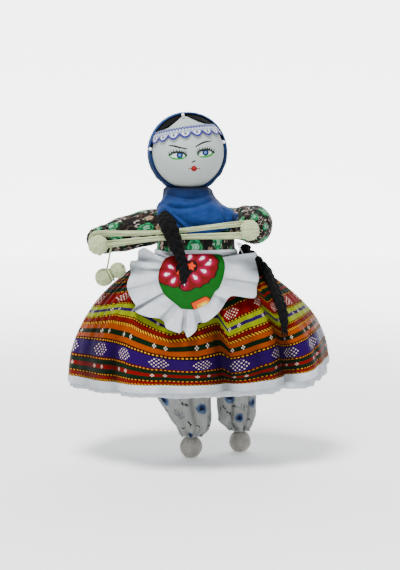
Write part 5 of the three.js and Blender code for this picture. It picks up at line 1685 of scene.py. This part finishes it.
def make_hands():
    for name, node, body, wrist, drop, crease, seed in HANDS:
        centre = np.array([wrist[0], wrist[1] - 8.1, wrist[2] - drop])

        def place(way, centre=centre, crease=crease, seed=seed):
            across = way[0] * cos(crease) + way[2] * sin(crease)
            beside = -way[0] * sin(crease) + way[2] * cos(crease)
            strands = 0.028 * sin(26 * across + 6 * beside + 3 * sin(3 * beside))
            groove = -0.13 * exp(-((beside / 0.10) ** 2)) * max(-way[1], 0) ** 0.5
            lobe = 0.05 * sin(2.3 * beside + seed)
            lobe += 0.05 * sin(6.1 * across + seed) * sin(5.3 * beside + 2 * seed)
            notch = -0.10 * exp(-(((way[0] + 0.15) / 0.18) ** 2)) * max(-way[2], 0) ** 2
            notch *= seed == NOTCHED_HAND
            return centre + way * np.array([9.6, 6.7, 9.8]) * (1 + strands + groove + lobe + notch)

        finish = Finish(name + " wool", roughness=0.95, sheen=0.12, specular=0.1)
        spot = finish.place()
        fuzz = finish.noise(spot, 0.5, 4.0, 0.7)
        x, y, z = finish.split(spot)
        drawn = finish.vector(finish.times(x, 0.6), finish.times(y, 0.4), finish.times(z, 1.6))
        depth = finish.sum(finish.times(fuzz, 0.5), finish.times(finish.noise(drawn, 0.9, 3.0), 0.8))
        tone = finish.ramp(depth, [(0.4, dyes().wool_shaded), (0.8, dyes().wool)])
        wool = finish.done(tone, finish.relief(depth, 0.35))
        piece = dressed(name, ball_mesh(name, 120, 80, place), body, "wool", wool, node)


PLAIT_PERIOD = 23.0
PLAIT_FLATNESS = 0.9
PLAIT_WISPS = 3


def plait(name, stations, facing):
    """A three-strand plait along stations of place and half-width, lying flat against what is behind it."""
    share = np.linspace(0, 1, 150)
    rows = smooth_curve(stations, share)
    line, half = rows[:, :3], rows[:, 3]
    forward = unit(np.gradient(line, axis=0))
    outward = np.array([facing(place) for place in line])
    outward = unit(outward - forward * np.sum(outward * forward, axis=1)[:, None])
    side = np.cross(forward, outward)
    travelled = np.concatenate([[0], np.cumsum(np.linalg.norm(np.diff(line, axis=0), axis=1))])
    parts = []
    ends = np.minimum(1.0, 0.55 + 6 * share) * np.minimum(1.0, 0.5 + 8 * (1 - share))
    for strand in range(3):
        phase = travelled / PLAIT_PERIOD * CIRCLE + strand * CIRCLE / 3
        weave = side * np.sin(phase)[:, None] * 0.52 + outward * np.sin(2 * phase)[:, None] * 0.20
        route = line + weave * half[:, None]
        parts.append(tube_mesh("strand", route, half * 0.50 * ends, 14, PLAIT_FLATNESS, tuple(outward[0])))
    share = np.linspace(0, 1, 14)
    for wisp in range(PLAIT_WISPS):
        spread = (wisp - (PLAIT_WISPS - 1) / 2) / (PLAIT_WISPS - 1)
        tip = line[-1] + forward[-1] * 7.0 + side[-1] * spread * 6.0 + outward[-1] * 0.4
        root = line[-1] - forward[-1] * 2.0
        bend = side[-1] * spread * 2.2
        route = root + (tip - root) * share[:, None] + bend * np.sin(pi * share)[:, None]
        parts.append(tube_mesh("wisp", route, 1.5 * (1 - share * 0.75), 8, first_side=tuple(outward[0])))
    return joined(name, parts)


def black_yarn_finish(name):
    """Nearly black wool whose fibres run along each strand."""
    finish = Finish(name, roughness=0.9, sheen=0.02, specular=0.06)
    u, v = finish.along_cloth(30.0, 60.0)
    fibres = finish.noise(finish.vector(u, finish.times(v, 0.12)), 0.8, 3.0, 0.7)
    fuzz = finish.noise(finish.place(), 0.5, 4.0, 0.7)
    depth = finish.sum(finish.times(fibres, 0.6), finish.times(fuzz, 0.5))
    tone = finish.ramp(depth, [(0.35, dyes().hair), (0.85, (0.009, 0.009, 0.010))])
    return finish.done(tone, finish.relief(depth, 0.3))


# The right plait from its top, over the scarf and the skein: place and half-width, in millimetres
RIGHT_BRAID = (
    (-38, -24.2, 243.5, 4.4), (-35.5, -33, 242.2, 6.6), (-30.5, -46.3, 234.8, 8.4), (-26, -46.5, 224, 7.9),
    (-21.5, -47.6, 212, 6.2), (-16.5, -47.2, 198, 5.4), (-15.2, -53.0, 187, 4.9), (-15.8, -57.8, 180, 3.4),
)
# The left plait below its top, which lies on the skirt: place across and height, and half-width
LEFT_BRAID_TOP = (46.5, -11, 212, 8.4)
LEFT_BRAID = (
    (51.5, 205, 8.6), (57, 197, 8.0), (63.5, 188, 7.0), (69, 178, 6.4), (75, 162, 5.9), (80, 146, 5.2),
    (83.5, 131, 3.6),
)


def down_skirt(z):
    return (WAIST_Z - z) / (WAIST_Z - PLAIN_HEM_Z)


def make_braids():
    black = black_yarn_finish("black braid yarn")
    mesh = plait("braid_right", RIGHT_BRAID, lambda place: np.array([0, -1.0, 0.15]))
    right = dressed("braid_right", mesh, None, "black_felt", black, "right_braid")
    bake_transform(right)

    def off_skirt(place):
        middle, half_width, half_depth = bell(down_skirt(place[2]))
        return np.array([(place[0] - middle) / half_width**2, place[1] / half_depth**2, 0.004])

    stations = [LEFT_BRAID_TOP]
    for x, z, half in LEFT_BRAID:
        middle, half_width, _ = bell(down_skirt(z))
        angle = -acos(np.clip((x - middle) / (half_width + 5.0), -0.97, 0.97))
        spot = skirt_point(np.array([angle]), np.array([down_skirt(z)]), half * 0.74 + 1.2)[0]
        stations.append((spot[0], spot[1], spot[2] + 1.5, half))
    mesh = plait("braid_left", stations, off_skirt)
    dressed("braid_left", mesh, "torso", "black_felt", black, "left_braid")


# The trousers' rings from the waist down: height, middle and half-sizes, in millimetres
TROUSERS = (
    ("trouser_right", "right_trouser", "right_leg", 201, (
        (183, -21, 0, 4, 4), (181, -21, 0, 12, 12), (150, -20, -1, 20, 18), (100, -18, -2, 26, 20),
        (66, -17.2, -3, 28.4, 20.3), (42, -10.2, -4, 21.5, 18.3), (31, -7, -4.5, 17, 15),
        (25, -7.6, -4.8, 11.5, 11), (22.2, -8, -5, 9.6, 9.6), (21.6, -8, -5, 8, 8),
    )),
    ("trouser_left", "left_trouser", "left_leg", 202, (
        (183, 15, 0, 4, 4), (181, 15, 0, 12, 12), (150, 27, 4, 16, 17), (100, 34, 10, 18, 18),
        (66, 36.5, 15, 20.2, 18.3), (42, 37, 19, 19.3, 17.3), (32, 37.4, 21, 17.6, 15.4),
        (26, 39.8, 21.8, 11.8, 11.2), (22.8, 40.5, 22, 9.6, 9.6), (22.2, 40.5, 22, 8, 8),
    )),
)


def trouser_fold(u, v, seed):
    """How far a trouser leg's cloth stands out: soft swells, long valleys and the gathers at its ankle."""
    angle = from_back(u)
    gather = ease(0.42, 0.80, v) * (1 - ease(0.985, 1.0, v))
    pleats = np.sin(11 * angle + 2.2 * np.sin(2 * angle + seed)) * gather * 1.5
    long_fold = ease(0.25, 0.5, v) * (1 - ease(0.8, 0.97, v))
    valleys = np.sin(2.5 * angle + 0.8 * np.sin(angle + seed) + 2.0 * v + seed)
    valleys = -2.6 * np.exp(-((valleys / 0.26) ** 2))
    soft = crumple(u * 2, v * 4, seed, 9, 0.5, 2.6) * np.sin(pi * np.clip(v, 0.02, 0.98)) ** 0.5
    return pleats + valleys * long_fold + soft


def make_trousers():
    for name, node, body, seed, rings in TROUSERS:
        rows = np.asarray(rings, float)

        def place(u, v, rows=rows, seed=seed):
            angle = from_back(u)
            row = smooth_curve(rows, v)
            lift = trouser_fold(u, v, seed)
            x = row[:, 1] + np.cos(angle) * np.maximum(row[:, 3] + lift, 0.1)
            y = row[:, 2] + np.sin(angle) * np.maximum(row[:, 4] + lift, 0.1)
            droop = 1.2 * np.sin(5 * angle + seed) * ease(0.6, 0.85, v) * (1 - ease(0.9, 1, v))
            return places(x, y, row[:, 0] + droop)

        mesh = face_outward(cloth_grid(name, 230, 170, place, wrap=True))
        u, v = uv_of(mesh).T
        drop = np.concatenate([[0], np.cumsum(np.linalg.norm(np.diff(rows[:, [0, 3]], axis=0), axis=1))])
        cloth = np.stack([132 * u, np.interp(v, np.linspace(0, 1, len(rows)), drop)], axis=1)
        colours = floral_colours(cloth, seed, dyes().trouser_ground, TROUSER_PRINTS)
        paint(mesh, "trouser_paint", colours * fold_shade(trouser_fold(u, v, seed), 0.13))
        cotton = printed_finish(name + " cotton", "trouser_paint", 0.85)
        piece = dressed(name, mesh, body, "trouser_print", cotton, node)


FEET = (
    ("foot_right", "right_foot", "right_leg", (-9.0, -5.0, 10.2), 31),
    ("foot_left", "left_foot", "left_leg", (41.0, 22.0, 10.2), 32),
)
FOOT_RADIUS = 11.3
ANKLE_RADIUS = 9.1
SEAMED_FOOT = 31


def make_feet():
    finish = Finish("stocking", roughness=0.8, sheen=0.3, specular=0.25)
    place_mm = finish.place()
    x, y, z = finish.split(place_mm)
    knit = finish.maths("SINE", finish.times(finish.sum(finish.times(x, 0.5), y, z), CIRCLE / 1.7))
    patches = finish.noise(place_mm, 8.0, 3.0)
    tone = finish.ramp(patches, [(0.35, dye("#CFCCC4")), (0.6, dyes().stocking)])
    # The knit's grooves, where its bump is lowest, are darker: painted shade in them
    tone = finish.mix(finish.less(knit, -0.35, 0.4), tone, finish.tinted(tone, (0.82, 0.8, 0.77)))
    height = finish.sum(finish.times(knit, 0.5), finish.noise(place_mm, 1.2, 3.0))
    stocking = finish.done(tone, finish.relief(height, 0.22))
    thread = Finish("ankle thread", roughness=0.7, sheen=0.3)
    cord_twist = thread.maths("SINE", thread.times(thread.split(thread.place())[2], 9.0))
    thread_material = thread.done(dye("#C9CCCC"), thread.relief(cord_twist, 0.1))
    for name, node, body, centre, seed in FEET:

        def place(way, centre=centre, seed=seed):
            angle = atan2(way[1], way[0])
            pucker = 0.035 * sin(13 * angle + seed) * max(way[2], 0) ** 2
            lump = 0.025 * sin(3.2 * way[0] + seed) * sin(2.7 * way[2] + 1)
            seam = -0.03 * exp(-(((way[0] * 0.7 + way[2] * 0.7 - 0.25) / 0.05) ** 2)) * (seed == SEAMED_FOOT)
            spot = np.array(centre) + way * FOOT_RADIUS * (1 + pucker + lump + seam)
            spot[2] = max(spot[2], 0.0)
            return spot

        piece = dressed(name, ball_mesh(name, 96, 72, place), body, "stuffed_calico", stocking, node)
        angle = np.linspace(0, CIRCLE * 2.02, 120)
        height = 21.9 + 0.55 * angle / CIRCLE
        x, y = centre[0] + ANKLE_RADIUS * np.cos(angle), centre[1] + ANKLE_RADIUS * np.sin(angle)
        tie = tube_mesh(name + "_thread", places(x, y, height), 0.35, 6)
        object_from(name + "_thread", tie, body, "white_cotton", thread_material)


# The three ties at the waist's left side, in millimetres
TIES = (
    ((35.8, -11.5, 216.5), (38.6, -16.5, 212.0), (41.2, -20.5, 207.5), (42.6, -24, 204.5)),
    ((38.0, -3.5, 214.5), (42.0, -6.5, 211.5), (46.5, -10.5, 208.6), (50.5, -15.5, 205.0)),
    ((38.2, 2.5, 215.5), (43.5, -1.5, 212.5), (49.0, -6.0, 208.2), (54.5, -12.0, 203.0)),
)


def make_ties():
    finish = Finish("apron tie", roughness=0.8, sheen=0.3)
    ribs = finish.maths("SINE", finish.times(finish.split(finish.place())[2], 8.0))
    material = finish.done(dyes().white_lit, finish.relief(ribs, 0.1))
    for number, stations in enumerate(TIES):
        tie = tube_mesh(f"apron_tie_{number}", smooth_curve(stations, np.linspace(0, 1, 30)), 0.55, 8)
        object_from(f"apron_tie_{number}", tie, "torso", "white_cotton", material)


def make_inside():
    foam = Finish("foam", roughness=0.95, specular=0.2)
    beads = foam.noise(foam.place(), 2.0, 2.0)
    foam.done(foam.mix(beads, (0.74, 0.74, 0.7), (0.9, 0.9, 0.87)), foam.relief(beads, 0.4))
    calico = Finish("calico", roughness=0.9, sheen=0.2, specular=0.2)
    place = calico.place()
    x, y, z = calico.split(place)
    weave = calico.threads(calico.sum(x, y), z, 0.5)
    tone = calico.mix(calico.noise(place, 6.0), (0.6, 0.57, 0.5), (0.74, 0.71, 0.65))
    calico.done(tone, calico.relief(weave, 0.1))
    wood = Finish("dowel wood", roughness=0.6, specular=0.35)
    x, y, z = wood.split(wood.place())
    grain = wood.noise(wood.vector(x, y, wood.times(z, 0.06)), 0.8, 4.0)
    wood.done(wood.mix(grain, (0.42, 0.27, 0.14), (0.66, 0.48, 0.29)), wood.relief(grain, 0.1))
    steel = Finish("steel wire", roughness=0.35, metallic=1.0)
    scratches = steel.noise(steel.place(), 0.4, 3.0)
    steel.done(steel.mix(scratches, (0.42, 0.43, 0.45), (0.6, 0.61, 0.63)), steel.relief(scratches, 0.03))
    for node, finish in (
        ("head_ball", foam), ("torso_core", calico), ("neck_dowel", wood), ("right_leg_rod", wood),
        ("left_leg_rod", wood), ("right_arm_wire", steel), ("left_arm_wire", steel),
    ):
        solid = frame["nodes"][node]
        solid.data.materials.clear()
        solid.data.materials.append(finish.material)


def colour_setting(name, description, hexcode):
    look = {"subtype": "COLOR", "size": 3, "min": 0, "max": 1, "default": tuple(dye(hexcode))}
    return bpy.props.FloatVectorProperty(name=name, description=description, **look)


def length_setting(name, description, millimetres):
    look = {"unit": "LENGTH", "min": 0, "default": millimetres * MM}
    return bpy.props.FloatProperty(name=name, description=description, **look)


class RagDollDyes(bpy.types.PropertyGroup):
    """Colours of the cloths and yarns."""

    skin: colour_setting("Face", "Jersey of the face", "#CFD5D3")
    hair: colour_setting("Hair", "Black felt of the hair", "#030304")
    pearl: colour_setting("Pearls", "Pearl beads", "#F2F3F6")
    scarf_deep: colour_setting("Scarf, shaded", "Blue of the scarf where it is deepest", "#163064")
    scarf_light: colour_setting("Scarf, lit", "Blue of the scarf where it is palest", "#4C80BC")
    white_shaded: colour_setting("White cotton, shaded", "White cotton where it is deepest", "#D3D8DE")
    white_lit: colour_setting("White cotton, lit", "White cotton where it is palest", "#EEF1F4")
    print_ground: colour_setting("Flowered cotton", "Ground of the bodice and sleeves", "#0A0C0B")
    trouser_ground: colour_setting("Trousers", "Ground of the trouser cotton", "#C7C9C6")
    stocking: colour_setting("Feet", "Stocking over the feet", "#DEDCD8")
    wool: colour_setting("Wool, lit", "Cream wool where it is palest", "#E6EECF")
    wool_shaded: colour_setting("Wool, shaded", "Cream wool between its fibres", "#98A074")


class RagDollSizes(bpy.types.PropertyGroup):
    """Thicknesses of the cloths, the pearls' size and the light."""

    voile: length_setting("Scarf cloth", "Thickness of the scarf", 0.35)
    brocade: length_setting("Brocade", "Thickness of the skirt's cloth", 0.5)
    cotton: length_setting("White cotton", "Thickness of the ruffle and the petticoat", 0.4)
    felt: length_setting("Felt", "Thickness of the felt hair", 0.6)
    pearl: length_setting("Pearl radius", "Radius of each pearl bead", 1.6)
    yarn: length_setting("Yarn", "Thickness of the skein and of the hanging strand", 1.8)
    light: bpy.props.FloatProperty(
        name="Light", description="Power of the main light", unit="POWER", min=0, default=118
    )


class RAGDOLL_OT_camera(bpy.types.Operator):
    """Place the camera where the photograph was taken"""

    bl_idname = "rag_doll.camera"
    bl_label = "Camera"

    def execute(self, context):
        make_camera()
        return {"FINISHED"}


class RAGDOLL_OT_bundle(bpy.types.Operator):
    """Make the hanging strand of wool and the bundle wound at its end"""

    bl_idname = "rag_doll.bundle"
    bl_label = "Wool Bundle"

    def execute(self, context):
        make_bundle()
        return {"FINISHED"}


class RAGDOLL_OT_skein(bpy.types.Operator):
    """Make the skein wound round both wrists"""

    bl_idname = "rag_doll.skein"
    bl_label = "Skein"

    def execute(self, context):
        make_skein()
        return {"FINISHED"}


class RAGDOLL_OT_stage(bpy.types.Operator):
    """Make the white floor, the backdrop and the soft lights"""

    bl_idname = "rag_doll.stage"
    bl_label = "Stage"

    def execute(self, context):
        make_stage()
        return {"FINISHED"}


class RAGDOLL_OT_face(bpy.types.Operator):
    """Make the painted jersey face"""

    bl_idname = "rag_doll.face"
    bl_label = "Painted Face"

    def execute(self, context):
        make_face()
        return {"FINISHED"}


class RAGDOLL_OT_hair(bpy.types.Operator):
    """Make the felt hair on both sides of the parting"""

    bl_idname = "rag_doll.hair"
    bl_label = "Felt Hair"

    def execute(self, context):
        make_hair()
        return {"FINISHED"}


class RAGDOLL_OT_lace(bpy.types.Operator):
    """Make the lace band over the brow"""

    bl_idname = "rag_doll.lace"
    bl_label = "Lace Band"

    def execute(self, context):
        make_lace()
        return {"FINISHED"}


class RAGDOLL_OT_pearls(bpy.types.Operator):
    """Make the three pearl beads"""

    bl_idname = "rag_doll.pearls"
    bl_label = "Pearls"

    def execute(self, context):
        make_pearls()
        return {"FINISHED"}


class RAGDOLL_OT_scarf(bpy.types.Operator):
    """Make the blue scarf round the head, neck and shoulders"""

    bl_idname = "rag_doll.scarf"
    bl_label = "Scarf"

    def execute(self, context):
        make_scarf()
        return {"FINISHED"}


class RAGDOLL_OT_skirt(bpy.types.Operator):
    """Make the brocade skirt, its hem band and the petticoat"""

    bl_idname = "rag_doll.skirt"
    bl_label = "Skirt and Petticoat"

    def execute(self, context):
        make_skirt()
        return {"FINISHED"}


class RAGDOLL_OT_apron(bpy.types.Operator):
    """Make the printed apron, its ruffle and its waistband"""

    bl_idname = "rag_doll.apron"
    bl_label = "Apron"

    def execute(self, context):
        make_apron()
        return {"FINISHED"}


class RAGDOLL_OT_bodice(bpy.types.Operator):
    """Make the flowered bodice"""

    bl_idname = "rag_doll.bodice"
    bl_label = "Bodice"

    def execute(self, context):
        make_bodice()
        return {"FINISHED"}


class RAGDOLL_OT_sleeves(bpy.types.Operator):
    """Make the two stuffed sleeves"""

    bl_idname = "rag_doll.sleeves"
    bl_label = "Sleeves"

    def execute(self, context):
        make_sleeves()
        return {"FINISHED"}


class RAGDOLL_OT_hands(bpy.types.Operator):
    """Make the two wool hands"""

    bl_idname = "rag_doll.hands"
    bl_label = "Hands"

    def execute(self, context):
        make_hands()
        return {"FINISHED"}


class RAGDOLL_OT_braids(bpy.types.Operator):
    """Make the two black plaits"""

    bl_idname = "rag_doll.braids"
    bl_label = "Plaits"

    def execute(self, context):
        make_braids()
        return {"FINISHED"}


class RAGDOLL_OT_trousers(bpy.types.Operator):
    """Make the two stuffed trouser legs"""

    bl_idname = "rag_doll.trousers"
    bl_label = "Trousers"

    def execute(self, context):
        make_trousers()
        return {"FINISHED"}


class RAGDOLL_OT_feet(bpy.types.Operator):
    """Make the two stocking feet and the threads tied above them"""

    bl_idname = "rag_doll.feet"
    bl_label = "Feet"

    def execute(self, context):
        make_feet()
        return {"FINISHED"}


class RAGDOLL_OT_ties(bpy.types.Operator):
    """Make the apron's thin ties"""

    bl_idname = "rag_doll.ties"
    bl_label = "Apron Ties"

    def execute(self, context):
        make_ties()
        return {"FINISHED"}


class RAGDOLL_OT_inside(bpy.types.Operator):
    """Finish the foam, calico, wood and wire inside"""

    bl_idname = "rag_doll.inside"
    bl_label = "Inner Parts"

    def execute(self, context):
        make_inside()
        return {"FINISHED"}


STEPS = (
    RAGDOLL_OT_camera, RAGDOLL_OT_bundle, RAGDOLL_OT_skein, RAGDOLL_OT_stage, RAGDOLL_OT_face,
    RAGDOLL_OT_hair, RAGDOLL_OT_lace, RAGDOLL_OT_pearls, RAGDOLL_OT_scarf, RAGDOLL_OT_skirt,
    RAGDOLL_OT_apron, RAGDOLL_OT_bodice, RAGDOLL_OT_sleeves, RAGDOLL_OT_hands, RAGDOLL_OT_braids,
    RAGDOLL_OT_trousers, RAGDOLL_OT_feet, RAGDOLL_OT_ties, RAGDOLL_OT_inside,
)


class RAGDOLL_PT_pieces(bpy.types.Panel):
    """The doll's pieces, sizes and colours"""

    bl_label = "Rag Doll"
    bl_space_type = "VIEW_3D"
    bl_region_type = "UI"
    bl_category = "Rag Doll"

    def draw(self, context):
        for step in STEPS:
            self.layout.operator(step.bl_idname)
        for group in (context.scene.rag_doll_sizes, context.scene.rag_doll_dyes):
            for name in group.__annotations__:
                self.layout.prop(group, name)


CLASSES = (RagDollDyes, RagDollSizes, *STEPS, RAGDOLL_PT_pieces)


def register():
    for item in CLASSES:
        bpy.utils.register_class(item)
    bpy.types.Scene.rag_doll_dyes = bpy.props.PointerProperty(type=RagDollDyes)
    bpy.types.Scene.rag_doll_sizes = bpy.props.PointerProperty(type=RagDollSizes)


def unregister():
    del bpy.types.Scene.rag_doll_dyes
    del bpy.types.Scene.rag_doll_sizes
    for item in reversed(CLASSES):
        bpy.utils.unregister_class(item)


def main():
    """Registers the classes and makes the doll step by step."""
    register()
    for step in STEPS:
        getattr(bpy.ops.rag_doll, step.bl_idname.split(".")[1])()


if __name__ == "__main__":
    main()
